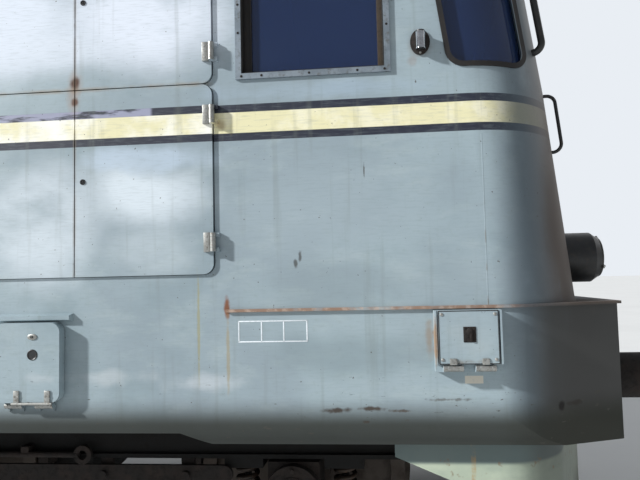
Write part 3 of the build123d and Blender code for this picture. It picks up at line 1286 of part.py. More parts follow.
# Drivers' seats: post, cushion and back rest, two in each cab
with BuildPart() as seats_a:
    for side in (NEAR, FAR):
        with BuildSketch(Plane.XY.offset(LEDGE_Z)):
            with Locations((SEAT_X, side * SEAT_Y)):
                Circle(SEAT_POST)
        extrude(amount=SEAT_HEIGHT)
        with BuildSketch(Plane.XY.offset(LEDGE_Z + SEAT_HEIGHT)):
            with Locations((SEAT_X, side * SEAT_Y)):
                RectangleRounded(SEAT_WIDTH, SEAT_WIDTH, SEAT_ROUND)
        extrude(amount=SEAT_PAD)
        with BuildSketch(Plane.XY.offset(LEDGE_Z + SEAT_HEIGHT + SEAT_PAD)):
            with Locations((SEAT_X - SEAT_WIDTH / 2 + SEAT_PAD / 2, side * SEAT_Y)):
                RectangleRounded(SEAT_PAD, SEAT_WIDTH, SEAT_ROUND)
        extrude(amount=SEAT_BACK_HEIGHT)
with BuildPart() as seats:
    add(seats_a.part)
    add(turned(seats_a.part))
save(seats, "seats")

# Control desks, hollowed for the knees by their profile
desk_profile = [
    (DESK_KNEE_X, LEDGE_Z),
    (DESK_KNEE_X, DESK_EDGE_Z - SEAT_PAD),
    (DESK_START_X, DESK_EDGE_Z),
    (DESK_START_X, DESK_EDGE_Z + SEAT_PAD),
    (DESK_END_X, DESK_TOP_Z),
    (DESK_END_X, LEDGE_Z),
]
with BuildPart() as desk_a:
    with BuildSketch(Plane.XZ.offset(-DESK_HALF_WIDTH)):
        with BuildLine():
            Polyline(*desk_profile, close=True)
        make_face()
    extrude(amount=2 * DESK_HALF_WIDTH)
with BuildPart() as control_desks:
    add(desk_a.part)
    add(turned(desk_a.part))
save(control_desks, "control_desks")

# Engine with its generator, one block, and the fuel tank between the bogies
with BuildPart() as engine_block:
    with BuildSketch(Plane.XY.offset(LEDGE_Z)):
        with Locations((ENGINE_START_X + ENGINE_LENGTH / 2, 0)):
            Rectangle(ENGINE_LENGTH, ENGINE_WIDTH)
    extrude(amount=ENGINE_HEIGHT)
save(engine_block, "engine_block")

with BuildPart() as fuel_tank:
    with BuildSketch(Plane.YZ.offset(-TANK_LENGTH / 2)):
        with BuildLine():
            Polyline(
                (0, TANK_BOTTOM_Z),
                (TANK_HALF_WIDTH - TANK_CORNER, TANK_BOTTOM_Z),
                (TANK_HALF_WIDTH, TANK_BOTTOM_Z + TANK_CORNER),
                (TANK_HALF_WIDTH, FRAME_BOTTOM_Z),
                (0, FRAME_BOTTOM_Z),
            )
            mirror(about=Plane.YZ)
        make_face()
    extrude(amount=TANK_LENGTH)
save(fuel_tank, "fuel_tank")

# Wheelsets: an axle with its two wheels, turned about the axle, six in all
wheel_y = BACK_TO_BACK / 2
web_y = wheel_y + (TYRE_WIDTH - WEB_THICKNESS) / 2
rim_radius = WHEEL_RADIUS - RIM_DEPTH
half_profile = [
    (wheel_y - HUB_SHOULDER, AXLE_RADIUS),
    (wheel_y - HUB_SHOULDER, HUB_RADIUS),
    (web_y, HUB_RADIUS),
    (web_y, rim_radius),
    (wheel_y, rim_radius),
    (wheel_y, WHEEL_RADIUS + RAIL_TOP),
    (wheel_y + FLANGE_THICKNESS / 2, WHEEL_RADIUS + RAIL_TOP),
    (wheel_y + FLANGE_THICKNESS, WHEEL_RADIUS),
    (wheel_y + TYRE_WIDTH, WHEEL_RADIUS - TREAD_DROP),
    (wheel_y + TYRE_WIDTH, rim_radius),
    (web_y + WEB_THICKNESS, rim_radius),
    (web_y + WEB_THICKNESS, HUB_RADIUS),
    (wheel_y + TYRE_WIDTH + HUB_SHOULDER, HUB_RADIUS),
    (wheel_y + TYRE_WIDTH + HUB_SHOULDER, JOURNAL_RADIUS),
    (BOX_OUTER_Y, JOURNAL_RADIUS),
    (BOX_OUTER_Y, 0),
]
wheelset_profile = half_profile + [(-y, radius) for y, radius in reversed(half_profile)]
wheelset_offsets = (-AXLE_SPACING, 0, AXLE_SPACING)
for bogie, pivot_x in (("a", PIVOT_X), ("b", -PIVOT_X)):
    for number, axle_offset in enumerate(wheelset_offsets, start=1):
        axle_plane = Plane(origin=(pivot_x + axle_offset, 0, AXLE_Z), x_dir=(0, 1, 0), z_dir=(1, 0, 0))
        with BuildPart() as wheelset:
            with BuildSketch(axle_plane):
                with BuildLine():
                    Polyline(*wheelset_profile, close=True)
                make_face()
            revolve(axis=Axis((pivot_x + axle_offset, 0, AXLE_Z), (0, 1, 0)))
        save(wheelset, f"wheelset_{bogie}{number}")

# Bogie frame: two I-section side beams, two transoms, and the bolster over the middle axle
beam_height = BEAM_TOP_Z - BEAM_BOTTOM_Z
beam_start_x = PIVOT_X - BEAM_HALF_LENGTH
axle_x = [PIVOT_X + axle_offset for axle_offset in wheelset_offsets]
pad_x = [x + end * SPRING_X for x in axle_x for end in (-1, 1)]
with BuildPart() as bogie_frame_a:
    with BuildSketch(Plane.YZ.offset(beam_start_x)):
        for side in (NEAR, FAR):
            with Locations((side * BEAM_Y, BEAM_BOTTOM_Z + beam_height / 2)):
                Rectangle(BEAM_WIDTH, beam_height)
            for flange_z in (BEAM_BOTTOM_Z + BEAM_FLANGE / 2, BEAM_TOP_Z - BEAM_FLANGE / 2):
                with Locations((side * BEAM_Y, flange_z)):
                    Rectangle(BEAM_FLANGE_WIDTH, BEAM_FLANGE)
    extrude(amount=2 * BEAM_HALF_LENGTH)
    with BuildSketch(Plane.XY.offset(TRANSOM_BOTTOM_Z)):
        with Locations(*((PIVOT_X + end * TRANSOM_X, 0) for end in (-1, 1))):
            Rectangle(TRANSOM_WIDTH, 2 * BEAM_Y)
    extrude(amount=BEAM_TOP_Z - TRANSOM_BOTTOM_Z)
    with BuildSketch(Plane.XY.offset(BOLSTER_BOTTOM_Z)):
        with Locations((PIVOT_X, 0)):
            Rectangle(2 * TRANSOM_X, BOLSTER_WIDTH)
    extrude(amount=BEAM_TOP_Z - BOLSTER_BOTTOM_Z)
    with BuildSketch(Plane.XY.offset(BEAM_TOP_Z)):
        with Locations((PIVOT_X, 0)):
            with GridLocations(2 * TRANSOM_X, 2 * BEARER_Y, 2, 2):
                Circle(BEARER_RADIUS)
    extrude(amount=FRAME_BOTTOM_Z - SEAT_GAP - BEAM_TOP_Z)
    with BuildSketch(Plane.XY.offset(BEAM_BOTTOM_Z)):
        with Locations(*((x, side * BEAM_Y) for x in pad_x for side in (NEAR, FAR))):
            Rectangle(SPRING_PAD, SPRING_PAD)
    extrude(amount=SPRING_PAD_HEIGHT, dir=(0, 0, -1))
    with BuildSketch(Plane.XY.offset(BOLSTER_BOTTOM_Z)):
        with Locations((PIVOT_X, 0)):
            Circle(PIVOT_RADIUS + PIN_GAP)
    extrude(amount=BEAM_TOP_Z - BOLSTER_BOTTOM_Z, mode=Mode.SUBTRACT)

# Axleboxes: a housing with a round cover, and wings that carry the springs
with BuildPart() as axleboxes_a:
    for x in axle_x:
        for side in (NEAR, FAR):
            with BuildSketch(Plane.XZ.offset(-side * BOX_INNER_Y)):
                with Locations((x, (BOX_BOTTOM_Z + BOX_TOP_Z) / 2)):
                    Rectangle(BOX_WIDTH, BOX_TOP_Z - BOX_BOTTOM_Z)
            extrude(amount=BOX_OUTER_Y - BOX_INNER_Y, dir=(0, side, 0))
            with BuildSketch(Plane.XZ.offset(-side * BOX_OUTER_Y)):
                with Locations((x, AXLE_Z)):
                    Circle(COVER_RADIUS)
            extrude(amount=COVER_END_Y - BOX_OUTER_Y, dir=(0, side, 0))
            with BuildSketch(Plane.XY.offset(BOX_BOTTOM_Z)):
                with Locations((x, side * BEAM_Y)):
                    Rectangle(2 * SPRING_X + SPRING_PAD, SPRING_PAD)
            extrude(amount=BOX_WING)
            with BuildSketch(Plane.XZ.offset(-side * BOX_INNER_Y)):
                with Locations((x, AXLE_Z)):
                    Circle(JOURNAL_RADIUS + PIN_GAP)
            extrude(amount=BOX_OUTER_Y + PIN_GAP - BOX_INNER_Y, dir=(0, side, 0), mode=Mode.SUBTRACT)

# Springs between the axleboxes' wings and the frame's pads
with BuildPart() as springs_a:
    with BuildSketch(Plane.XY.offset(BOX_BOTTOM_Z + BOX_WING)):
        with Locations(*((x, side * BEAM_Y) for x in pad_x for side in (NEAR, FAR))):
            Circle(SPRING_RADIUS)
    extrude(amount=BEAM_BOTTOM_Z - SPRING_PAD_HEIGHT - BOX_BOTTOM_Z - BOX_WING)

# Traction motors hung on the axles: each row is the axle's X and which way the motor lies from it
motor_places = list(zip(axle_x, (1, 1, -1)))
with BuildPart() as traction_motors_a:
    for x, way in motor_places:
        motor_x = x + way * MOTOR_REACH
        nose_length = TRANSOM_X - TRANSOM_WIDTH / 2 - MOTOR_REACH
        with BuildSketch(Plane.XZ.offset(-MOTOR_LENGTH / 2)):
            with Locations((motor_x, MOTOR_Z)):
                Circle(MOTOR_RADIUS)
        extrude(amount=MOTOR_LENGTH)
        for side in (NEAR, FAR):
            with BuildSketch(Plane.XZ.offset(-side * MOTOR_LENGTH / 2)):
                with Locations((x, AXLE_Z)):
                    Circle(HUB_RADIUS)
                with Locations((x + way * MOTOR_REACH / 2, (AXLE_Z + MOTOR_Z) / 2)):
                    Rectangle(MOTOR_REACH, 2 * AXLE_RADIUS)
            extrude(amount=SUSPENSION_WIDTH, dir=(0, -side, 0))
        with BuildSketch(Plane.XZ.offset(-MOTOR_NOSE / 2)):
            with Locations((motor_x + way * nose_length / 2, TRANSOM_BOTTOM_Z + MOTOR_NOSE_HEIGHT / 2)):
                Rectangle(nose_length, MOTOR_NOSE_HEIGHT)
        extrude(amount=MOTOR_NOSE)
        with BuildSketch(Plane.XZ.offset(-MOTOR_LENGTH / 2)):
            with Locations((x, AXLE_Z)):
                Circle(GEAR_CASE_RADIUS)
            with Locations((motor_x, MOTOR_Z)):
                Circle(GEAR_CASE_END_RADIUS)
            make_hull()
        extrude(amount=GEAR_CASE_WIDTH, dir=(0, 1, 0))
        with BuildSketch(Plane.XZ.offset(-MOTOR_LENGTH / 2)):
            with Locations((x, AXLE_Z)):
                Circle(AXLE_RADIUS + DOOR_GAP)
        extrude(amount=GEAR_CASE_WIDTH, dir=(0, 1, 0), mode=Mode.SUBTRACT)
        with BuildSketch(Plane.XZ.offset(-MOTOR_LENGTH / 2)):
            with Locations((x, AXLE_Z)):
                Circle(AXLE_RADIUS + PIN_GAP)
        extrude(amount=MOTOR_LENGTH, mode=Mode.SUBTRACT)

# Brake gear: a shoe on an arm from the transom at each side of the middle wheels and the inner side
# of the others, and the outside lever and pull rod. Each row is the axle's X and the shoe's side.
shoe_places = [(axle_x[0], 1), (axle_x[1], -1), (axle_x[1], 1), (axle_x[2], -1)]
tread_y = wheel_y + (FLANGE_THICKNESS + TYRE_WIDTH) / 2
shoe_radius = WHEEL_RADIUS + BRAKE_GAP
arm_reach = TRANSOM_X - TRANSOM_WIDTH / 2
arm_z = TRANSOM_BOTTOM_Z + BRAKE_ARM / 2
lever_middle_y = LEVER_Y + LEVER_THICKNESS / 2
with BuildPart() as brake_gear_a:
    for side in (NEAR, FAR):
        for x, way in shoe_places:
            with BuildSketch(Plane.XZ.offset(BRAKE_SHOE_WIDTH / 2 - side * tread_y)):
                with BuildLine():
                    start = BRAKE_RISE - BRAKE_ARC / 2 if way > 0 else 180 - BRAKE_RISE - BRAKE_ARC / 2
                    face = CenterArc((x, AXLE_Z), shoe_radius, start, BRAKE_ARC)
                    back = CenterArc((x, AXLE_Z), shoe_radius + BRAKE_SHOE, start, BRAKE_ARC)
                    Line(face @ 0, back @ 0)
                    Line(face @ 1, back @ 1)
                make_face()
            extrude(amount=BRAKE_SHOE_WIDTH, dir=(0, 1, 0))
            arm_start = shoe_radius + BRAKE_SHOE / 2
            with BuildSketch(Plane.XZ.offset(BRAKE_ARM / 2 - side * tread_y)):
                with Locations((x + way * (arm_start + arm_reach) / 2, arm_z)):
                    Rectangle(arm_reach - arm_start, BRAKE_ARM)
            extrude(amount=BRAKE_ARM, dir=(0, 1, 0))
        with BuildSketch(Plane.XZ.offset(-side * LEVER_Y)):
            with Locations((PIVOT_X + (LEVER_START_X + LEVER_END_X) / 2, (LEVER_BOTTOM_Z + LEVER_TOP_Z) / 2)):
                SlotOverall(LEVER_END_X - LEVER_START_X, LEVER_TOP_Z - LEVER_BOTTOM_Z)
        extrude(amount=LEVER_THICKNESS, dir=(0, side, 0))
        for pin_x in LEVER_PIN_X:
            with BuildSketch(Plane.XZ.offset(-side * (BEAM_Y + BEAM_WIDTH / 2))):
                with Locations((PIVOT_X + pin_x, (LEVER_BOTTOM_Z + LEVER_TOP_Z) / 2)):
                    Circle(LEVER_THICKNESS)
            extrude(amount=LEVER_Y + 2 * LEVER_THICKNESS - BEAM_Y - BEAM_WIDTH / 2, dir=(0, side, 0))
            hanger_bottom_z = (LEVER_BOTTOM_Z + LEVER_TOP_Z) / 2 - 2 * LEVER_THICKNESS
            with BuildSketch(Plane.XZ.offset(-side * (BEAM_Y + BEAM_WIDTH / 2))):
                with Locations((PIVOT_X + pin_x, (hanger_bottom_z + BEAM_BOTTOM_Z) / 2)):
                    Rectangle(3 * LEVER_THICKNESS, BEAM_BOTTOM_Z - hanger_bottom_z)
            extrude(amount=LEVER_THICKNESS, dir=(0, side, 0))
        with BuildSketch(Plane.YZ.offset(PIVOT_X + ROD_START_X)):
            with Locations((side * lever_middle_y, ROD_Z)):
                Circle(ROD_RADIUS)
        extrude(amount=ROD_EYE_X - ROD_START_X - ROD_EYE_RADIUS / 2)
        with BuildSketch(Plane.XZ.offset(-side * LEVER_Y)):
            with Locations((PIVOT_X + ROD_EYE_X, ROD_Z)):
                Circle(ROD_EYE_RADIUS)
                Circle(ROD_EYE_RADIUS / 2, mode=Mode.SUBTRACT)
        extrude(amount=LEVER_THICKNESS, dir=(0, side, 0))
        with BuildSketch(Plane.XY.offset(BEAM_BOTTOM_Z + BEAM_FLANGE)):
            for lug_x in ROD_LUG_X:
                with Locations((PIVOT_X + lug_x, side * (BEAM_Y + BEAM_WIDTH / 2 + ROD_LUG / 2))):
                    Rectangle(2 * LEVER_THICKNESS, ROD_LUG)
        extrude(amount=2 * LEVER_THICKNESS)

# Each bogie's sub-parts, at cab A and turned to cab B
for piece_a, piece_name in (
    (bogie_frame_a, "bogie_frame"),
    (axleboxes_a, "axleboxes"),
    (springs_a, "springs"),
    (traction_motors_a, "traction_motors"),
    (brake_gear_a, "brake_gear"),
):
    save(piece_a, f"{piece_name}_a")
    with BuildPart() as piece_b:
        add(turned(piece_a.part))
    save(piece_b, f"{piece_name}_b")
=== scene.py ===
"""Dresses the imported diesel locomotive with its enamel, rust, glass and small fittings.

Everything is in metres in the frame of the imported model: X runs along the track with cab A at +X,
the near side is -Y, and Z is up from the tips of the wheel flanges.
"""
from __future__ import annotations

import logging
import math
from collections.abc import Callable
from dataclasses import dataclass
from enum import Enum

import bpy
from mathutils import Matrix, Vector

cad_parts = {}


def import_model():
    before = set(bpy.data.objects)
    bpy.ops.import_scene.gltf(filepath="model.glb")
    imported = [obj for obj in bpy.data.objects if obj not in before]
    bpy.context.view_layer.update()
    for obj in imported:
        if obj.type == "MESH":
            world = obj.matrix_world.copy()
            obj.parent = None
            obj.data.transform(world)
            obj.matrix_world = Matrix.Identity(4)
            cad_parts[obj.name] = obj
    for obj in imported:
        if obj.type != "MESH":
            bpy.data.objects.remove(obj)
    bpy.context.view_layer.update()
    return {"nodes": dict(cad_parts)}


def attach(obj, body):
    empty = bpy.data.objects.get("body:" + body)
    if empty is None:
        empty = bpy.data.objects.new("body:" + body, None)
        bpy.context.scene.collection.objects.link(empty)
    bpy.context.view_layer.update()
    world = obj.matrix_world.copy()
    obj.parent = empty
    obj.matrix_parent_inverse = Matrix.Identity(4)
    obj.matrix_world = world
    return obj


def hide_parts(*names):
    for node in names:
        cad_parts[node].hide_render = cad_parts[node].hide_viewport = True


LOG = logging.getLogger("locomotive")
MM = 0.001
LEDGE_Z = 1.473
SILL_Z = 2.448
CAB_JOINT_X = 6.118
NOSE_X = 7.770
BOW_RADIUS = 9.0
NOSE_LEAN = 6.0
SCREEN_LEAN = 8.0
# Outer face of the hatch leaves and of the cab windows' frames on the near side
FACE_Y = -1.512
PIVOTS_X = {"a": 4.3, "b": -4.3}
AXLES_X = (-2.05, 0.0, 2.05)
ORIGIN = (0.0, 0.0, 0.0)
HALF_TURN = Matrix.Rotation(math.pi, 4, "Z")
# The mirroring that swaps the near and the far side
MIRRORED = Matrix.Scale(-1, 4, (0, 1, 0))

Point = tuple[float, float, float]
Profile = tuple[tuple[float, float], ...]
Socket = bpy.types.NodeSocket
Piece = bpy.types.Object


class Along(Enum):
    """The direction in which a round piece's axis points, as an XYZ rotation."""

    X = (0.0, math.pi / 2, 0.0)
    Y = (math.pi / 2, 0.0, 0.0)
    Z = (0.0, 0.0, 0.0)


# The way in which each axis points away from the locomotive: out at cab A, out at the near side, and up
POINTING = {Along.X: (1.0, 0.0, 0.0), Along.Y: (0.0, -1.0, 0.0), Along.Z: (0.0, 0.0, 1.0)}


def linear(code: str) -> tuple[float, float, float, float]:
    """Turn an sRGB hex value into a linear colour.

    Args:
        code: The colour as #RRGGBB.

    Returns:
        Linear red, green and blue, with an alpha of 1.
    """
    shares = [int(code[i : i + 2], 16) / 255 for i in (1, 3, 5)]
    return (*(s / 12.92 if s <= 0.04045 else ((s + 0.055) / 1.055) ** 2.4 for s in shares), 1.0)


def add_node(
    tree: bpy.types.NodeTree, kind: str, inputs: dict[int | str, object] | None = None, **settings: object
) -> bpy.types.Node:
    """Add a node with its settings, and set or link its inputs.

    Args:
        tree: The node tree that gets the node.
        kind: The node's type name, without the ShaderNode that all of them begin with.
        inputs: A value or an output socket for each input, by its name or number.
        settings: The node's own properties.

    Returns:
        The new node.
    """
    node = tree.nodes.new(f"ShaderNode{kind}")
    for name, value in settings.items():
        setattr(node, name, value)
    for key, value in (inputs or {}).items():
        if isinstance(value, bpy.types.NodeSocket):
            tree.links.new(value, node.inputs[key])
        else:
            node.inputs[key].default_value = value
    return node


class Coat:
    """A finish that is built up in layers over Object coordinates, as paint, dirt and wear are."""

    def __init__(self, name: str, colour: str, roughness: float, metallic: float = 0.0) -> None:
        """Start a finish.

        Args:
            name: The material's name.
            colour: The bare finish's colour as #RRGGBB.
            roughness: The bare finish's roughness.
            metallic: 1 for bare metal, 0 for paint.
        """
        self.material = bpy.data.materials.new(name)
        self.material.use_nodes = True
        self.tree = self.material.node_tree
        self.tree.nodes.clear()
        self.place: Socket = add_node(self.tree, "TexCoord").outputs["Object"]
        split = add_node(self.tree, "SeparateXYZ", {0: self.place})
        self.axes: dict[str, Socket] = dict(zip("xyz", split.outputs))
        folded = add_node(self.tree, "VectorMath", {0: self.place}, operation="ABSOLUTE")
        self.folded: Socket = folded.outputs[0]
        both = add_node(self.tree, "SeparateXYZ", {0: self.folded})
        self.axes.update(zip(("|x|", "|y|", "|z|"), both.outputs))
        self.colour: Socket = add_node(
            self.tree, "Mix", {6: linear(colour), 7: linear(colour)}, data_type="RGBA"
        ).outputs[2]
        self.gloss = roughness
        self.metal = metallic
        self.rough: Socket | None = None
        self.height: Socket | None = None

    def cloud(
        self, size_mm: float, low: float, high: float, stretch: Point = (1.0, 1.0, 1.0), detail: float = 4.0
    ) -> Socket:
        """Cloudy mask with patches of a real size.

        Args:
            size_mm: Width of one patch.
            low: Noise value at which the mask leaves 0.
            high: Noise value at which the mask reaches 1.
            stretch: How much longer a patch is along X, Y and Z.
            detail: Octaves of finer noise.

        Returns:
            The mask, from 0 to 1.
        """
        scale = tuple(1 / s for s in stretch)
        placed = add_node(self.tree, "Mapping", {"Vector": self.place, "Scale": scale})
        noise = add_node(
            self.tree,
            "TexNoise",
            {"Vector": placed.outputs[0], "Scale": 1 / (size_mm * MM), "Detail": detail, "Roughness": 0.6},
        )
        return self.ramp(noise.outputs[0], low, high)

    def ramp(self, value: Socket, low: float, high: float) -> Socket:
        """Mask that goes smoothly from 0 where value is low to 1 where it is high."""
        limits = {"Value": value, "From Min": min(low, high), "From Max": max(low, high)}
        if low > high:
            limits.update({"To Min": 1.0, "To Max": 0.0})
        return add_node(self.tree, "MapRange", limits, interpolation_type="SMOOTHSTEP").outputs[0]

    def both(self, *masks: Socket | float) -> Socket:
        """Product of several masks or strengths."""
        product = masks[0]
        for mask in masks[1:]:
            product = add_node(
                self.tree, "Math", {0: product, 1: mask}, operation="MULTIPLY"
            ).outputs[0]
        return product

    def band(self, axis: str, low: float, high: float, soft: float = 0.001) -> Socket:
        """Mask between two places on an axis.

        Args:
            axis: x, y or z, or |x| or |y| for both ends or both sides alike.
            low: Where the band begins, in metres.
            high: Where it ends.
            soft: Width of its edges.

        Returns:
            The mask.
        """
        value = self.axes[axis]
        rising, falling = self.ramp(value, low - soft, low + soft), self.ramp(value, high + soft, high - soft)
        return self.both(rising, falling)

    def spot(self, centre: Point, reach: Point, ragged: float = 0.0, folded: bool = False) -> Socket:
        """Round or oval mask about a place, with an edge as ragged as asked.

        Args:
            centre: The middle, in metres.
            reach: Its half sizes along X, Y and Z.
            ragged: How far noise pushes its edge in and out.
            folded: Whether it shows at both ends and both sides alike.

        Returns:
            The mask.
        """
        place = self.folded if folded else self.place
        moved = add_node(self.tree, "VectorMath", {0: place, 1: centre}, operation="SUBTRACT")
        scaled = add_node(self.tree, "VectorMath", {0: moved.outputs[0], 1: reach}, operation="DIVIDE")
        length = add_node(self.tree, "VectorMath", {0: scaled.outputs[0]}, operation="LENGTH")
        value = length.outputs["Value"]
        if not ragged:
            return self.ramp(value, 1.0, 0.75)
        noise = add_node(
            self.tree, "TexNoise", {"Vector": self.place, "Scale": 0.375 / min(reach), "Detail": 5.0}
        )
        pushed = {0: noise.outputs[0], 1: ragged * 2, 2: value}
        value = add_node(self.tree, "Math", pushed, operation="MULTIPLY_ADD").outputs[0]
        return self.ramp(value, 1.05 + ragged, 0.6 + ragged * 0.6)

    def cover(self, colour: str, strength: float, *masks: Socket, roughness: float | None = None) -> None:
        """Lay a colour over the finish.

        Args:
            colour: The colour as #RRGGBB.
            strength: How much of it covers, from 0 to 1.
            masks: Where it lies, which is where all of them do.
            roughness: The roughness it brings, or None to leave that as it is.
        """
        share = self.both(*masks, strength)
        self.colour = add_node(
            self.tree, "Mix", {0: share, 6: self.colour, 7: linear(colour)}, data_type="RGBA"
        ).outputs[2]
        if roughness is not None:
            before = self.gloss if self.rough is None else self.rough
            self.rough = add_node(self.tree, "Mix", {0: share, 2: before, 3: roughness}).outputs[0]

    def lift(self, mask: Socket, millimetres: float) -> None:
        """Raise the surface by some millimetres where the mask is 1, or sink it if negative."""
        before = 0.0 if self.height is None else self.height
        self.height = add_node(
            self.tree, "Math", {0: mask, 1: millimetres, 2: before}, operation="MULTIPLY_ADD"
        ).outputs[0]

    def finished(self, **shader: object) -> bpy.types.Material:
        """Close the finish with its shader.

        Args:
            shader: Constant values for the shader's own sockets, with _ for a space.

        Returns:
            The material.
        """
        inputs: dict[int | str, object] = {"Base Color": self.colour, "Metallic": self.metal}
        inputs["Roughness"] = self.gloss if self.rough is None else self.rough
        if self.height is not None:
            bump = add_node(self.tree, "Bump", {"Height": self.height, "Distance": MM})
            inputs["Normal"] = bump.outputs[0]
        inputs.update({name.replace("_", " "): value for name, value in shader.items()})
        principled = add_node(self.tree, "BsdfPrincipled", inputs)
        add_node(self.tree, "OutputMaterial", {0: principled.outputs[0]})
        return self.material


@dataclass(frozen=True)
class Stain:
    """A mark on the body: its middle, its half sizes, its colour and how much of it covers."""

    centre: Point
    reach: Point
    colour: str
    strength: float
    ragged: float = 0.6
    ragged: float = 0.6

    def mask(self, coat: Coat) -> Socket:
        """Where the mark lies."""
        return coat.spot(self.centre, self.reach, self.ragged)


class CoachEnamel:
    """Coach enamel, brushed and sprayed on steel sheet: sun-bleached, streaked, chipped and rusty at edges.

    It is dull where the sun has chalked it, and a little glossier where it is still whole.
    """

    BASE = "#8E9DA5"
    NAVY = "#14172B"
    CREAM = "#E4DEB4"
    STRIPE_Z = (2.216, 2.251, 2.344, 2.379)
    BLEACHED = (
        Stain((5.76, -1.5, 1.99), (0.36, 0.3, 0.19), "#D6E0E7", 0.9, 0.8),
        Stain((5.20, -1.5, 1.86), (0.38, 0.3, 0.38), "#CDD7DE", 0.9, 0.8),
        Stain((5.78, -1.5, 1.72), (0.36, 0.3, 0.14), "#BAC6CC", 0.65, 0.9),
        Stain((5.75, -1.5, 2.82), (0.52, 0.3, 0.34), "#DDE4EF", 0.95, 0.5),
        Stain((5.05, -1.5, 2.80), (0.56, 0.3, 0.38), "#D9E1EC", 0.95, 0.5),
        Stain((5.36, -1.5, 2.66), (0.50, 0.3, 0.16), "#D6DEE8", 0.8, 0.7),
        Stain((5.56, -1.5, 1.185), (0.24, 0.2, 0.045), "#BEC5C8", 0.5, 1.0),
        Stain((5.30, -1.56, 1.19), (0.09, 0.2, 0.030), "#BAC2C6", 0.45, 1.0),
        Stain((6.00, -1.5, 1.155), (0.20, 0.2, 0.060), "#C3CACF", 0.6, 1.0),
        Stain((6.55, -1.5, 1.90), (0.55, 0.3, 0.30), "#A0AFB6", 0.45),
        Stain((7.05, -1.5, 1.60), (0.40, 0.3, 0.12), "#9FADB2", 0.4),
        Stain((7.143, -1.59, 1.345), (0.135, 0.03, 0.120), "#A2AEB1", 0.7, 0.5),
        Stain((5.78, -1.5, 2.150), (0.42, 0.3, 0.075), "#B7C7D6", 0.75, 0.8),
        Stain((6.52, -1.5, 2.430), (0.55, 0.3, 0.050), "#9DB0C0", 0.55, 0.8),
        Stain((6.62, -1.5, 1.570), (0.70, 0.3, 0.130), "#7F8E95", 0.50, 0.8),
        Stain((6.75, -1.5, 1.270), (0.55, 0.3, 0.130), "#7A8B91", 0.60, 0.8),
        Stain((7.12, -1.5, 2.000), (0.24, 0.3, 0.260), "#82919A", 0.45, 0.8),
        Stain((3.10, -1.5, 1.90), (0.60, 0.3, 0.40), "#BFC9CE", 0.5),
        Stain((-1.6, -1.5, 2.00), (0.90, 0.3, 0.35), "#C4CDD1", 0.5),
        Stain((-5.1, -1.5, 1.80), (0.60, 0.3, 0.30), "#BFC9CD", 0.5),
        Stain((-4.7, 1.5, 1.90), (0.70, 0.3, 0.35), "#C6CFD4", 0.55),
        Stain((1.50, 1.5, 1.85), (0.90, 0.3, 0.40), "#BDC7CC", 0.5),
        Stain((5.10, 1.5, 2.00), (0.60, 0.3, 0.30), "#C4CED3", 0.5),
    )
    RUST = (
        Stain((5.428, -1.5, 2.485), (0.050, 0.2, 0.110), "#9A7557", 0.65, 0.9),
        Stain((5.431, -1.5, 2.515), (0.028, 0.2, 0.038), "#4B2C1B", 0.95, 0.7),
        Stain((5.431, -1.5, 2.425), (0.024, 0.2, 0.026), "#5A3520", 0.9, 0.7),
        Stain((6.100, -1.5, 2.29), (0.035, 0.2, 0.030), "#7A5632", 0.5, 0.8),
        Stain((6.122, -1.5, 1.480), (0.016, 0.2, 0.055), "#7A4A2C", 0.95, 0.6),
        Stain((6.125, -1.5, 1.27), (0.010, 0.2, 0.200), "#9A8A62", 0.55, 0.5),
        Stain((5.995, -1.5, 1.40), (0.008, 0.2, 0.280), "#969062", 0.6, 0.4),
        Stain((7.010, -1.55, 1.33), (0.014, 0.06, 0.130), "#8A6842", 0.85, 0.6),
        Stain((6.990, -1.5, 1.35), (0.022, 0.02, 0.100), "#8C7355", 0.5, 0.8),
        Stain((6.955, -1.5, 2.535), (0.026, 0.2, 0.026), "#8B6A52", 0.25, 0.8),
        Stain((6.992, -1.5, 2.60), (0.062, 0.2, 0.078), "#7F7264", 0.5, 0.8),
        Stain((7.143, -1.59, 1.250), (0.120, 0.03, 0.016), "#6B5C49", 0.7, 0.9),
    )
    CHIPS = (
        Stain((6.60, -1.49, 1.040), (0.080, 0.2, 0.014), "#3B322B", 0.95, 1.0),
        Stain((6.74, -1.49, 1.046), (0.060, 0.2, 0.011), "#3F362E", 0.95, 1.0),
        Stain((6.86, -1.49, 1.036), (0.060, 0.2, 0.008), "#463C33", 0.85, 1.0),
        Stain((6.72, -1.48, 0.990), (0.022, 0.2, 0.008), "#3B322B", 0.9, 0.9),
        Stain((7.06, -1.49, 1.082), (0.110, 0.2, 0.007), "#55544F", 0.7, 1.2),
        Stain((6.428, -1.5, 1.668), (0.010, 0.2, 0.026), "#494B4A", 0.85, 0.7),
        Stain((6.448, -1.5, 1.698), (0.010, 0.2, 0.026), "#494B4A", 0.85, 0.7),
        Stain((6.735, -1.5, 2.060), (0.004, 0.2, 0.040), "#4A4A45", 0.8, 0.4),
        Stain((7.535, -1.42, 1.040), (0.018, 0.2, 0.026), "#15120F", 0.95, 0.6),
        Stain((7.590, -1.40, 1.050), (0.045, 0.2, 0.014), "#302A25", 0.7, 1.1),
    )

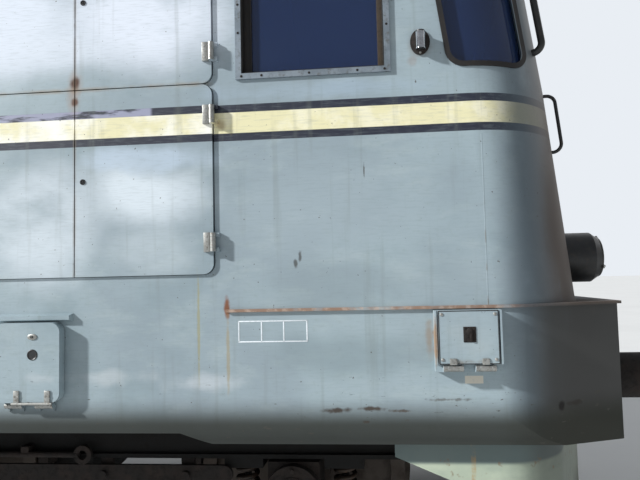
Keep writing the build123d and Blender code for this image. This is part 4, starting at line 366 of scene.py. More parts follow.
    def stripes(self, coat: Coat) -> None:
        """Paint the cream stripe between its two navy lines, worn where the hatch leaves have bleached."""
        low, mid_low, mid_high, high = self.STRIPE_Z
        whole, middle, upper = (
            coat.band("z", start, end) for start, end in ((low, high), (mid_low, mid_high), (mid_high, high))
        )
        coat.cover(self.NAVY, 0.97, whole, roughness=0.5)
        leaves = coat.both(coat.band("x", 4.4, 5.79, 0.01), coat.band("y", -1.6, -1.4))
        coat.cover("#9C9FB6", 0.9, upper, leaves, coat.cloud(60, 0.36, 0.5, (3.0, 1.0, 0.5)))
        coat.cover(self.CREAM, 1.0, middle, roughness=0.5)
        coat.cover("#EFEBD2", 0.7, middle, coat.cloud(110, 0.45, 0.65))
        coat.cover("#F7F6EE", 0.95, middle, coat.band("x", 4.4, 6.07, 0.01), coat.cloud(260, 0.4, 0.62))
        coat.cover("#8F9089", 0.35, whole, coat.cloud(12, 0.66, 0.72))

    def wear(self, coat: Coat) -> None:
        """Lay rust, chips, streaks and grime over the paint, with painted shade on the fronts, the headstock
        and the skirt's foot.
        """
        from_middle, from_side, height = coat.axes["|x|"], coat.axes["|y|"], coat.axes["z"]
        near = coat.band("y", -1.6, -1.4)
        # Rain streaks down the walls and brush marks along them
        coat.cover("#6F776F", 0.22, coat.cloud(45, 0.55, 0.75, (1.0, 1.0, 18.0), 3))
        coat.cover("#7F8B8E", 0.22, coat.cloud(7, 0.45, 0.75, (9.0, 1.0, 1.0), 3))
        # The upright seam at the cab's corner
        seam = coat.both(coat.band("|x|", 7.236, 7.241, 0.002), coat.band("z", LEDGE_Z, 2.2))
        coat.cover("#6E6351", 0.7, seam, coat.cloud(70, 0.45, 0.62), coat.ramp(height, 2.1, 1.6))
        coat.lift(seam, 0.5)
        for stain in self.RUST:
            coat.cover(stain.colour, stain.strength, stain.mask(coat), roughness=0.85)
        # The deck's rusty lip
        lip = coat.both(coat.band("z", 1.4595, 1.4735), coat.band("|x|", CAB_JOINT_X, 8.0))
        coat.cover("#8C6F5C", 0.95, lip, coat.cloud(160, 0.28, 0.5), roughness=0.8)
        coat.cover("#B4A091", 0.7, lip, coat.cloud(35, 0.5, 0.65), roughness=0.7)
        # Painted shade on the front where it turns away from the light, soot and brake dust with painted
        # shade at its corners, and painted shade on the headstock below it
        # Painted shade: cool dark grey over the front, with a cloudy edge
        coat.cover("#414E57", 0.8, coat.ramp(from_middle, 7.25, 7.42), coat.cloud(420, 0.05, 0.4))
        # Soot and brake dust down the front's corners, darkened further as painted shade
        edge = coat.both(coat.ramp(from_middle, 7.40, 7.62), coat.ramp(from_side, 0.95, 1.30))
        coat.cover("#5B4C40", 0.75, edge, coat.cloud(160, 0.1, 0.45, (1.0, 1.0, 3.0)), roughness=0.7)
        soot_and_shade = coat.spot((7.66, 1.22, 1.80), (0.20, 0.30, 0.60), 0.5, folded=True)
        coat.cover("#3D3128", 0.8, soot_and_shade, roughness=0.75)
        # Painted shade on the headstock's facet below the deck
        below = coat.both(coat.ramp(from_middle, 7.36, 7.52), coat.ramp(height, LEDGE_Z, LEDGE_Z - 0.02))
        coat.cover("#363837", 0.88, below, coat.cloud(300, 0.05, 0.45))
        # Rust in the level and the upright joint between the hatch leaves
        joints = coat.both(near, coat.cloud(140, 0.3, 0.6))
        level = coat.both(coat.band("z", 2.468, 2.488, 0.008), coat.band("x", 4.79, 6.06, 0.02))
        coat.cover("#8C7A62", 0.55, level, joints)
        coat.cover("#7E7363", 0.5, coat.band("x", 5.424, 5.438, 0.005), coat.band("z", 1.63, 3.2), joints)
        # A pale patch of bare filler under the socket's lid
        patch = coat.both(coat.band("x", 7.131, 7.206), coat.band("z", 1.148, 1.180))
        coat.cover("#D3CCBC", 0.9, patch, coat.band("y", -1.51, -1.4), coat.cloud(30, 0.2, 0.45))
        # Painted shade on the skirt's foot, where it curves under and faces down
        foot = coat.cloud(260, 0.0, 0.35, (2.0, 1.0, 1.0))
        coat.cover("#26281F", 0.93, coat.ramp(height, 1.11, 0.97), foot, roughness=0.85)
        for stain in self.CHIPS:
            mask = stain.mask(coat)
            coat.cover(stain.colour, stain.strength, mask, roughness=0.9)
            coat.lift(mask, -0.4)
        # Specks all over, and small chips low down
        coat.cover("#4A443D", 0.8, coat.cloud(16, 0.735, 0.75, detail=2), roughness=0.85)
        chips = coat.cloud(30, 0.66, 0.69, (2.5, 1.0, 0.6))
        coat.cover("#474640", 0.8, chips, coat.ramp(height, 1.3, 1.05), roughness=0.9)

    def made(self) -> bpy.types.Material:
        """Mix the enamel with its stripes and wear."""
        coat = Coat("coach_enamel", self.BASE, 0.5)
        coat.cover("#9FB0B6", 0.7, coat.cloud(1100, 0.42, 0.62))
        coat.cover("#82949B", 0.6, coat.cloud(420, 0.5, 0.7))
        coat.cover("#A9B7B9", 0.4, coat.cloud(90, 0.5, 0.75, (2.5, 1.0, 1.0)))
        coat.cover("#85938F", 0.3, coat.cloud(22, 0.5, 0.8))
        chalk = coat.cloud(260, 0.12, 0.56, (2.0, 1.0, 1.0), 6)
        for stain in self.BLEACHED:
            coat.cover(stain.colour, stain.strength, stain.mask(coat), chalk, roughness=0.7)
        self.stripes(coat)
        coat.lift(coat.cloud(700, 0.2, 0.8, detail=1), 3.0)
        coat.lift(coat.cloud(6, 0.3, 0.7, detail=2), 0.05)
        self.wear(coat)
        return coat.finished(IOR=1.5, Coat_Weight=0.08, Coat_Roughness=0.35)


@dataclass(frozen=True)
class PlainFinish:
    """A finish with blotches, dirt or rust and a grain.

    The sizes are the widths of its blotches, its dirt and its grain in millimetres.
    """

    name: str
    base: str
    blotch: str
    dirt: str
    roughness: float
    metallic: float = 0.0
    blotch_mm: float = 140.0
    dirt_mm: float = 40.0
    dirt_share: float = 0.5
    grain_mm: float = 3.0
    grain_height: float = 0.1

    def made(self) -> bpy.types.Material:
        """Mix the finish."""
        coat = Coat(self.name, self.base, self.roughness, self.metallic)
        coat.cover(self.blotch, 0.7, coat.cloud(self.blotch_mm, 0.4, 0.65))
        shift = 0.3 * self.dirt_share
        dirt = coat.cloud(self.dirt_mm, 0.60 - shift, 0.92 - shift)
        coat.cover(self.dirt, 0.85, dirt, roughness=min(1.0, self.roughness + 0.25))
        coat.lift(coat.cloud(self.grain_mm, 0.3, 0.7, detail=2), self.grain_height)
        coat.lift(dirt, self.grain_height * 2)
        return coat.finished()


# What each finish is, and what that gives the eye
PLAIN_FINISHES = (
    # Matt alkyd roof enamel: dark, sooty and dry
    PlainFinish("roof_enamel", "#4E5355", "#44494B", "#3B3A38", 0.75, 0.0, 700, 260, 0.5, 5, 0.12),
    # Black chassis enamel under brake dust: nearly black, brown where the dust lies
    PlainFinish("chassis_enamel", "#080807", "#0D0C0B", "#15120F", 0.88, 0.0, 200, 50, 0.5, 4, 0.25),
    # Sand cast iron with brown rust: rough and dull
    PlainFinish("rusted_cast_iron", "#1B1613", "#2A1F19", "#14110F", 0.85, 0.0, 90, 25, 0.5, 3, 0.35),
    # Rolled wheel steel: grey with a brown film of dust
    PlainFinish("rolled_wheel_steel", "#453E38", "#3B322B", "#312822", 0.6, 0.4, 220, 80, 0.55, 2, 0.1),
    # Oiled spring steel: dark and half glossy
    PlainFinish("oiled_spring_steel", "#2B2622", "#3A2F27", "#54402F", 0.5, 0.5, 60, 20, 0.45, 2, 0.1),
    # Mill-finished aluminium extrusion: pale, brushed, with grime in its corners
    PlainFinish("extruded_aluminium", "#9BA6AF", "#7F8A93", "#5E5C57", 0.45, 0.8, 80, 22, 0.4, 1.5, 0.03),
    # Cast aluminium fan: pale, slightly rough
    PlainFinish("cast_aluminium", "#8B8F90", "#74787A", "#4D4A45", 0.5, 0.7, 80, 30, 0.4, 2, 0.08),
    # Zinc-plated steel hinges and bolts: pale grey, with dull grey bloom
    PlainFinish("zinc_plate", "#A9AAA6", "#8A8B88", "#6B5A48", 0.45, 0.75, 20, 8, 0.4, 1, 0.03),
    # Chromed brass hood: mirror-bright, with brown pits
    PlainFinish("chrome_plate", "#C9CCD0", "#B0B3B6", "#6B5546", 0.12, 1.0, 20, 7, 0.3, 1, 0.01),
    # EPDM window rubber: black, dull, with brown bloom
    PlainFinish("window_rubber", "#131111", "#1C1918", "#2E2722", 0.7, 0.0, 60, 18, 0.45, 2, 0.06),
    # Black enamel on rails and lamp drums: dark with a soft gloss
    PlainFinish("black_enamel", "#1A1B1C", "#26282A", "#3B332C", 0.42, 0.0, 90, 25, 0.4, 2, 0.06),
    # Cab lining enamel: matt pale green
    PlainFinish("lining_enamel", "#7F8A7C", "#747F72", "#5D6258", 0.7, 0.0, 200, 60, 0.4, 3, 0.05),
    # Leathercloth seats: dark brown, creased grain
    PlainFinish("leathercloth", "#33261F", "#402F26", "#251C17", 0.55, 0.0, 60, 20, 0.5, 4, 0.3),
    # Engine enamel under oil: grey-green
    PlainFinish("engine_enamel", "#4A574C", "#3C463E", "#2A2A24", 0.5, 0.0, 180, 50, 0.5, 3, 0.1),
    # Aged window putty: ochre brown, dry, darker where dust has stuck
    PlainFinish("aged_putty", "#3F3428", "#332B23", "#221E1A", 0.85, 0.0, 50, 15, 0.5, 2, 0.12),
    # Grey enamel on the lamp rims, worn to dark metal
    PlainFinish("lamp_rim_enamel", "#3B3B3A", "#2E2D2C", "#5A4C3F", 0.4, 0.3, 40, 12, 0.45, 2, 0.05),
    # White stencil paint: chalky, thin in places
    PlainFinish("stencil_paint", "#E8EEF2", "#D8E0E4", "#B4BFC4", 0.6, 0.0, 40, 12, 0.4, 2, 0.02),
)


class PloughEnamel:
    """Pale green enamel on the plough plates: chalked, scraped and rusty below bolts and at edges, with
    painted shadow and shade.
    """

    def made(self) -> bpy.types.Material:
        """Mix the enamel."""
        coat = Coat("plough_enamel", "#A9B5A2", 0.55)
        height, from_middle = coat.axes["z"], coat.axes["|x|"]
        coat.cover("#BCC6B0", 0.7, coat.cloud(300, 0.4, 0.62))
        coat.cover("#93A093", 0.5, coat.cloud(70, 0.45, 0.7, (2.0, 2.0, 1.0)))
        # Painted shadow of the skirt on the band under it, and painted shade on the part round the corner
        coat.cover("#4A5C61", 0.85, coat.ramp(height, 0.765, 0.785))
        coat.cover("#3A3F3C", 0.6, coat.ramp(from_middle, 7.36, 7.50))
        run = coat.both(coat.band("|x|", 7.165, 7.185, 0.004), coat.cloud(60, 0.3, 0.6))
        coat.cover("#A98855", 0.8, run, roughness=0.8)
        coat.cover("#7A6248", 0.6, coat.cloud(50, 0.6, 0.7), roughness=0.85)
        coat.cover("#4E4A42", 0.75, coat.ramp(height, 0.5, 0.2), roughness=0.85)
        coat.lift(coat.cloud(5, 0.3, 0.7, detail=2), 0.06)
        return coat.finished()


class TintedGlass:
    """Blue-tinted safety glass: smooth, dark from outside, with a light film of dust."""

    def made(self) -> bpy.types.Material:
        """Mix the glass."""
        coat = Coat("tinted_glass", "#3B5488", 0.03)
        coat.cover("#4A628F", 0.5, coat.cloud(240, 0.5, 0.8), roughness=0.12)
        return coat.finished(IOR=1.5, Transmission_Weight=0.75)


class LampGlass:
    """Pressed lamp glass: clear, with a pale silvered back."""

    def made(self) -> bpy.types.Material:
        """Mix the glass."""
        coat = Coat("lamp_glass", "#8F9592", 0.06)
        coat.cover("#767A75", 0.5, coat.cloud(40, 0.5, 0.8), roughness=0.2)
        return coat.finished(IOR=1.5, Coat_Weight=0.6, Coat_Roughness=0.05)


def made_finishes() -> dict[str, bpy.types.Material]:
    """Mix every finish.

    Returns:
        Each material by its name.
    """
    made = [CoachEnamel().made(), PloughEnamel().made(), TintedGlass().made(), LampGlass().made()]
    made += [finish.made() for finish in PLAIN_FINISHES]
    return {material.name: material for material in made}


def deselect() -> None:
    """Leave object mode with nothing selected."""
    bpy.ops.object.select_all(action="DESELECT")


def chosen(*pieces: Piece) -> Piece:
    """Select these objects alone and make the first one active."""
    deselect()
    for piece in pieces:
        piece.select_set(True)
    bpy.context.view_layer.objects.active = pieces[0]
    return pieces[0]


def with_modifier(piece: Piece, kind: str, **settings: object) -> Piece:
    """Add a modifier to a piece and apply it.

    Args:
        piece: The object.
        kind: The modifier's type.
        settings: Its properties.

    Returns:
        The same object.
    """
    chosen(piece)
    modifier = piece.modifiers.new(kind.lower(), kind)
    for name, value in settings.items():
        setattr(modifier, name, value)
    bpy.ops.object.modifier_apply(modifier=modifier.name)
    return piece


def plate(centre: Point, size: Point, edge: float = 0.002) -> Piece:
    """Plate or block with rounded edges.

    Args:
        centre: Its middle.
        size: Its length along X, Y and Z.
        edge: Radius of its edges.

    Returns:
        The plate.
    """
    deselect()
    bpy.ops.mesh.primitive_cube_add(size=1.0, location=centre, scale=size)
    piece = bpy.context.object
    bpy.ops.object.transform_apply()
    return with_modifier(piece, "BEVEL", width=edge, segments=2, limit_method="NONE")


def select_only(piece: Piece, elements: str, wanted: Callable[[object], bool]) -> None:
    """Enter edit mode with only some parts of a mesh selected.

    Args:
        piece: The object, active.
        elements: The kind of part, vertices or polygons.
        wanted: Whether a part is to be selected.
    """
    bpy.ops.object.mode_set(mode="EDIT")
    bpy.ops.mesh.select_all(action="DESELECT")
    bpy.ops.object.mode_set(mode="OBJECT")
    for element in getattr(piece.data, elements):
        element.select = wanted(element)
    bpy.ops.object.mode_set(mode="EDIT")


def stood(piece: Piece, centre: Point, along: Along) -> None:
    """Turn a piece that was made about Z to its axis, and stand it in its place."""
    chosen(piece)
    piece.rotation_euler = along.value
    piece.location = centre
    bpy.ops.object.transform_apply()


def drum(
    centre: Point,
    radius: float,
    length: float,
    along: Along,
    steps: Profile = (),
    sides: int = 32,
    edge: float = 0.001,
) -> Piece:
    """Round piece whose outer face is inset and drawn in or out in steps.

    Args:
        centre: Its middle.
        radius: Its radius.
        length: Its length along its axis.
        along: Its axis.
        steps: For each step, how far the last face is inset and how far it is then moved out.
        sides: How many sides the round has.
        edge: Radius of its edges.

    Returns:
        The round piece.
    """
    deselect()
    bpy.ops.mesh.primitive_cylinder_add(vertices=sides, radius=radius, depth=length, location=(0, 0, 0))
    piece = bpy.context.object
    if steps:
        select_only(piece, "polygons", lambda face: face.normal.z > 0.9)
        bpy.ops.mesh.select_mode(type="FACE")
        for inset, out in steps:
            bpy.ops.mesh.inset(thickness=inset, depth=0.0)
            bpy.ops.mesh.extrude_region_move(TRANSFORM_OT_translate={"value": (0, 0, out)})
        bpy.ops.object.mode_set(mode="OBJECT")
    stood(piece, centre, along)
    limits = {"limit_method": "ANGLE", "angle_limit": math.radians(40)}
    return with_modifier(piece, "BEVEL", width=edge, segments=2, **limits)


def lathe(centre: Point, profile: Profile, along: Along, sides: int = 32) -> Piece:
    """Turn a profile about an axis, as on a lathe.

    Args:
        centre: Where the axis has its height 0.
        profile: Radius and height of each corner of the profile, the height pointing outwards.
        along: The axis.
        sides: How many sides the round has.

    Returns:
        The turned piece.
    """
    deselect()
    bpy.ops.mesh.primitive_plane_add(size=1.0, location=(0, 0, 0))
    piece = bpy.context.object
    bpy.ops.object.mode_set(mode="EDIT")
    bpy.ops.mesh.select_all(action="SELECT")
    bpy.ops.mesh.merge(type="CENTER")
    before = (0.0, 0.0)
    for place in profile:
        bpy.ops.mesh.extrude_vertices_move(
            TRANSFORM_OT_translate={"value": (place[0] - before[0], 0, place[1] - before[1])}
        )
        before = place
    bpy.ops.object.mode_set(mode="OBJECT")
    select_only(piece, "vertices", lambda vertex: vertex.index == 0)
    bpy.ops.mesh.delete(type="VERT")
    bpy.ops.object.mode_set(mode="OBJECT")
    turn = {"angle": math.tau, "screw_offset": 0.0, "axis": "Z", "steps": sides, "render_steps": sides}
    with_modifier(piece, "SCREW", **turn, use_merge_vertices=True, merge_threshold=0.00002)
    stood(piece, centre, along)
    return piece


def rod(
    points: tuple[Point, ...], radius: float, smooth: bool = False, closed: bool = False
) -> Piece:
    """Round bar along a line of points.

    Args:
        points: The line.
        radius: The bar's radius.
        smooth: Whether the line is a curve rather than straight runs.
        closed: Whether the line ends where it began.

    Returns:
        The bar as a mesh.
    """
    data = bpy.data.curves.new("rod", "CURVE")
    data.dimensions = "3D"
    data.bevel_depth = radius
    data.bevel_resolution = 3
    data.use_fill_caps = True
    spline = data.splines.new("NURBS" if smooth else "POLY")
    spline.points.add(len(points) - 1)
    for point, place in zip(spline.points, points):
        point.co = (*place, 1.0)
    if smooth:
        spline.order_u = 3
        spline.use_endpoint_u = True
    spline.use_cyclic_u = closed
    piece = bpy.data.objects.new("rod", data)
    bpy.context.scene.collection.objects.link(piece)
    chosen(piece)
    bpy.ops.object.convert(target="MESH")
    return bpy.context.object


def joined(pieces: list[Piece]) -> Piece:
    """Join several pieces into one."""
    chosen(*pieces)
    if len(pieces) > 1:
        bpy.ops.object.join()
    return bpy.context.object


def copied(piece: Piece, change: Matrix) -> Piece:
    """Copy a piece with its own mesh.

    Args:
        piece: The piece to copy.
        change: The copy's move, turn or mirroring.

    Returns:
        The copy.
    """
    copy = piece.copy()
    copy.data = piece.data.copy()
    copy.data.transform(change)
    if change.determinant() < 0:
        copy.data.flip_normals()
    bpy.context.scene.collection.objects.link(copy)
    return copy


def repeated(first: Piece, changes: list[Matrix], keep: bool = False) -> Piece:
    """Join copies of a piece into one.

    Args:
        first: The piece that is copied.
        changes: Each copy's move, turn or mirroring.
        keep: Whether the first piece stays, for more copies.

    Returns:
        The copies as one piece.
    """
    copies = [copied(first, change) for change in changes]
    if not keep:
        bpy.data.objects.remove(first)
    return joined(copies)


def moves(*places: Point) -> list[Matrix]:
    """The moves to some places."""
    return [Matrix.Translation(place) for place in places]


class Workshop:
    """Keeps the finishes and puts each finished piece on its body."""

    def __init__(self) -> None:
        """Mix the finishes."""
        self.finishes = made_finishes()
        self.count = 0

    def fit(
        self, piece: Piece, name: str, body: str, finish: str, slot: str, crisp: float = 35.0
    ) -> Piece:
        """Name a piece, close its mesh, give it its finish and let it ride on its body.

        Args:
            piece: The piece, in place.
            name: Its name.
            body: The body it rides on.
            finish: Its material's name.
            slot: The record's material slot; not used.
            crisp: Angle in degrees above which an edge stays sharp.

        Returns:
            The piece.
        """
        chosen(piece)
        bpy.ops.object.transform_apply()
        bpy.ops.object.mode_set(mode="EDIT")
        bpy.ops.mesh.select_all(action="SELECT")
        bpy.ops.mesh.remove_doubles(threshold=0.00005)
        bpy.ops.mesh.normals_make_consistent(inside=False)
        bpy.ops.object.mode_set(mode="OBJECT")
        bpy.ops.object.shade_smooth_by_angle(angle=math.radians(crisp))
        piece.name = name
        piece.data.name = name
        piece.data.materials.clear()
        piece.data.materials.append(self.finishes[finish])
        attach(piece, body)
        self.count += 1
        LOG.info("%s on %s in %s", name, body, finish)
        return piece

    def fit_ends(
        self, piece: Piece, name: str, finish: str, slot: str, bodies: tuple[str, str] = ("body", "body")
    ) -> None:
        """Fit a piece of cab A, and its copy half a turn round at cab B.

        Args:
            piece: The piece, in place at cab A.
            name: Its name, to which the end's letter is added.
            finish: Its material's name.
            slot: The record's material slot.
            bodies: The bodies that it rides on at cab A and cab B.
        """
        other = copied(piece, HALF_TURN)
        self.fit(piece, f"{name}_a", bodies[0], finish, slot)
        self.fit(other, f"{name}_b", bodies[1], finish, slot)

    def fit_corners(self, piece: Piece, name: str, finish: str, slot: str) -> None:
        """Fit a piece of cab A's near side, and its copies on the far side and at cab B."""
        mirrored = copied(piece, MIRRORED)
        self.fit_ends(piece, f"{name}_1", finish, slot)
        self.fit_ends(mirrored, f"{name}_2", finish, slot)


def nose_x(y: float, z: float) -> float:
    """Where the leaning, bowed cab front stands along X at a place across the track and a level."""
    low = min(z, SILL_Z) - LEDGE_Z
    high = max(z - SILL_Z, 0.0)
    shift = low * math.tan(math.radians(NOSE_LEAN)) + high * math.tan(math.radians(SCREEN_LEAN))
    return NOSE_X - BOW_RADIUS + math.sqrt(BOW_RADIUS**2 - y**2) - shift


def ring_of_rod(low: tuple[float, float], high: tuple[float, float], y: float, radius: float) -> Piece:
    """Bar round an upright rectangle that reaches from one corner's X and Z to the other's."""
    (left, bottom), (right, top) = low, high
    corners = ((left, y, bottom), (right, y, bottom), (right, y, top), (left, y, top))
    return rod(corners, radius, closed=True)


def oval(centre: Point, profile: Profile, wide: float, high: float) -> Piece:
    """Disc facing the near side, turned with a radius of 1 and drawn to its half width and half height."""
    disc = lathe(ORIGIN, profile, Along.Y)
    disc.data.transform(Matrix.Diagonal((wide, 1.0, high, 1.0)))
    disc.data.transform(Matrix.Translation(centre))
    return disc


@dataclass(frozen=True)
class KeyLocks:
    """Triangular key locks on the hatch leaves, each in a round escutcheon."""

    x: float = 5.470
    levels: tuple[tuple[str, float], ...] = (("leaf_lower_right", 2.056), ("leaf_upper_right", 2.886))
    ring: Profile = (
        (0.0, 0.0005), (0.0085, 0.0005), (0.0085, 0.004), (0.011, 0.004), (0.013, 0.0015), (0.013, 0.0),
    )

    def build(self, shop: Workshop) -> None:
        """Make one lock for each right-hand leaf."""
        for body, z in self.levels:
            escutcheon = lathe((self.x, FACE_Y, z), self.ring, Along.Y)
            shop.fit(escutcheon, f"{body}_lock", body, "black_enamel", "bare_iron")
            pin = drum((self.x, FACE_Y - 0.0015, z), 0.0055, 0.003, Along.Y, sides=3, edge=0.0006)
            shop.fit(pin, f"{body}_lock_pin", body, "black_enamel", "bare_iron")


@dataclass(frozen=True)
class CabWindow:
    """Screws, sliding channel, sealing strip and bead of a cab's side window."""

    start_x: float = 6.177
    end_x: float = 6.862
    bottom_z: float = 2.489
    top_z: float = 3.168
    member: float = 0.026
    glass_y: float = -1.476
    channel_x: float = 6.225
    lips_x: tuple[float, ...] = (6.2055, 6.2445)
    strip_x: float = 6.822
    bead_gap: float = 0.003
    low_screws_x: tuple[float, ...] = (6.203, 6.294, 6.506, 6.718, 6.836)
    side_screws_z: tuple[float, ...] = (2.70, 2.83, 2.96)
    head: Profile = ((0.0055, 0.0), (0.005, 0.0014), (0.003, 0.0024), (0.0, 0.0028))

    def screws(self) -> Piece:
        """Round-headed screws along the frame's four members."""
        half = self.member / 2
        places = [(x, 0.0, z) for x in self.low_screws_x for z in (self.bottom_z + half, self.top_z - half)]
        places += [(x, 0.0, z) for z in self.side_screws_z for x in (self.start_x + half, self.end_x - half)]
        return repeated(lathe((0.0, FACE_Y, 0.0), self.head, Along.Y, sides=14), moves(*places))

    def upright(self, x: float, width: float, depth: float, edge: float) -> Piece:
        """Strip that stands on the pane, between the frame's lower and upper member."""
        height = self.top_z - self.bottom_z - 2 * self.member
        middle = (self.bottom_z + self.top_z) / 2
        return plate((x, self.glass_y - depth / 2, middle), (width, depth, height), edge)

    def channel(self) -> Piece:
        """Black channel in which the front pane slides, with its two lips."""
        lips = [self.upright(x, 0.005, 0.012, 0.0012) for x in self.lips_x]
        return joined([self.upright(self.channel_x, 0.044, 0.002, 0.0006), *lips])

    def bead(self) -> Piece:
        """Rubber bead between the frame and the pane, all round."""
        inset = self.member + self.bead_gap
        low = (self.start_x + inset, self.bottom_z + inset)
        return ring_of_rod(low, (self.end_x - inset, self.top_z - inset), FACE_Y + 0.010, 0.004)

    def build(self, shop: Workshop) -> None:
        """Dress the window on both sides of both cabs, with an aged strip down the pane's rear edge."""
        shop.fit_corners(self.screws(), "cab_window_screws", "rusted_cast_iron", "frame_aluminium")
        shop.fit_corners(self.channel(), "cab_window_channel", "window_rubber", "seal_rubber")
        strip = self.upright(self.strip_x, 0.028, 0.008, 0.0025)
        shop.fit_corners(strip, "cab_window_strip", "aged_putty", "seal_rubber")
        shop.fit_corners(self.bead(), "cab_window_bead", "window_rubber", "seal_rubber")


@dataclass(frozen=True)
class MarkerLamp:
    """Chromed sleeve over the marker lamp's hood, its rusty oval base plate and the base's screws."""

    x: float = 6.992
    y: float = -1.534
    z: float = 2.612
    radius: float = 0.0202
    height: float = 0.078
    base_radii: tuple[float, float] = (0.0425, 0.0565)
    base_y: float = -1.508
    base: Profile = ((1.0, 0.0), (1.0, 0.001), (0.94, 0.0018), (0.6, 0.0022), (0.5, 0.004), (0.0, 0.0042))
    head: Profile = ((0.005, 0.0), (0.0045, 0.0012), (0.0, 0.0022))
    screw_reach: float = 0.048

    def sleeve(self) -> Piece:
        """Upright sleeve with a rolled lower lip and a rounded crown."""
        r, half = self.radius, self.height / 2
        profile = (
            (r - 0.003, -half - 0.001), (r + 0.001, -half - 0.001), (r + 0.001, -half + 0.003),
            (r, -half + 0.005), (r, half - 0.008), (r - 0.003, half - 0.001), (r - 0.009, half + 0.0015),
            (0.0, half + 0.002),
        )
        return lathe((self.x, self.y, self.z), profile, Along.Z)

    def build(self, shop: Workshop) -> None:
        """Dress all four marker lamps."""
        shop.fit_corners(self.sleeve(), "marker_lamp_sleeve", "chrome_plate", "lamp_metal")
        base = oval((self.x, self.base_y, self.z), self.base, *self.base_radii)
        shop.fit_corners(base, "marker_lamp_base", "rusted_cast_iron", "lamp_metal")
        screw = lathe((self.x, self.base_y - 0.0018, self.z), self.head, Along.Y, sides=14)
        screws = repeated(screw, moves((0.0, 0.0, -self.screw_reach), (0.0, 0.0, self.screw_reach)))
        shop.fit_corners(screws, "marker_lamp_screws", "zinc_plate", "lamp_metal")


@dataclass(frozen=True)
class Headlamp:
    """Rim, clamps and glass of a lamp that looks along the track."""

    name: str
    face: Point
    radius: float
    rings: int = 10
    ripple: float = 0.0008
    crown: float = 0.016

    def rim(self) -> Piece:
        """Rolled rim that holds the glass."""
        r = self.radius
        rolled = ((r - 0.014, 0.001), (r - 0.013, 0.008), (r - 0.008, 0.012), (r - 0.003, 0.010))
        return lathe(self.face, (*rolled, (r, 0.0), (r, -0.006)), Along.X, sides=48)

    def glass(self) -> Piece:
        """Domed front glass with a few pressed rings."""
        r = self.radius - 0.013
        profile = [(r, 0.004)]
        for step in range(1, self.rings):
            share = 1 - step / self.rings
            profile.append((r * share, 0.004 + self.crown * (1 - share**2) + self.ripple * (step % 2)))
        return lathe(self.face, (*profile, (0.0, 0.0205)), Along.X, sides=48)

    def clamps(self) -> Piece:
        """Three small clamps with screws on the rim."""
        x, y, z = self.face
        edge = z + self.radius - 0.006
        block = plate((x + 0.010, y, edge), (0.008, 0.016, 0.022), 0.002)
        clamp = joined([block, drum((x + 0.016, y, edge), 0.0045, 0.006, Along.X, sides=12)])
        there, back = Matrix.Translation(self.face), Matrix.Translation((-x, -y, -z))
        turns = [Matrix.Rotation(math.radians(angle), 4, "X") for angle in (0.0, 120.0, 240.0)]
        return repeated(clamp, [there @ turn @ back for turn in turns])

    def build(self, shop: Workshop) -> None:
        """Dress the lamp at both ends, and on both sides where it stands off the middle."""
        fit = shop.fit_corners if self.face[1] else shop.fit_ends
        fit(self.rim(), f"{self.name}_rim", "lamp_rim_enamel", "lamp_metal")
        fit(self.glass(), f"{self.name}_glass", "lamp_glass", "window_glass")
        fit(self.clamps(), f"{self.name}_clamps", "zinc_plate", "lamp_metal")


@dataclass(frozen=True)
class SocketLid:
    """Lock plate, key lever, corner bolts and seal on the lid of the charging socket."""

    face_y: float = -1.573
    bolts_x: tuple[float, float] = (7.036, 7.250)
    bolts_z: tuple[float, float] = (1.256, 1.440)
    lock: tuple[float, float] = (7.147, 1.358)
    seal: tuple[tuple[float, float], tuple[float, float]] = ((7.0235, 1.2395), (7.2625, 1.4535))
    boss: Profile = ((0.014, 0.0), (0.012, 0.006), (0.006, 0.008), (0.0, 0.008))
    head: Profile = ((0.0075, 0.0), (0.007, 0.002), (0.004, 0.0038), (0.0, 0.0042))

    def lock_plate(self) -> Piece:
        """Rusty lock plate with a boss, the key's lever hanging from it."""
        x, z = self.lock
        back = plate((x, self.face_y - 0.0015, z), (0.051, 0.003, 0.063), 0.0012)
        boss = lathe((x, self.face_y - 0.003, z + 0.012), self.boss, Along.Y)
        lever = plate((x + 0.004, self.face_y - 0.0085, z - 0.006), (0.010, 0.004, 0.042), 0.0015)
        rivets = [
            drum((x + dx, self.face_y - 0.0038, z + dz), 0.0035, 0.0022, Along.Y, sides=12, edge=0.0006)
            for dx in (-0.019, 0.019)
            for dz in (-0.025, 0.025)
        ]
        return joined([back, boss, lever, *rivets])

    def build(self, shop: Workshop) -> None:
        """Dress the lid at both ends."""
        bodies = ("cover_near", "cover_far")
        shop.fit_ends(self.lock_plate(), "socket_lid_lock", "rusted_cast_iron", "bare_iron", bodies)
        bolt = lathe((0.0, self.face_y, 0.0), self.head, Along.Y, sides=16)
        bolts = repeated(bolt, moves(*((x, 0.0, z) for x in self.bolts_x for z in self.bolts_z)))
        shop.fit_ends(bolts, "socket_lid_bolts", "zinc_plate", "grey_paint", bodies)
        seal = ring_of_rod(*self.seal, self.face_y + 0.001, 0.0028)
        shop.fit_ends(seal, "socket_lid_seal", "window_rubber", "seal_rubber", bodies)


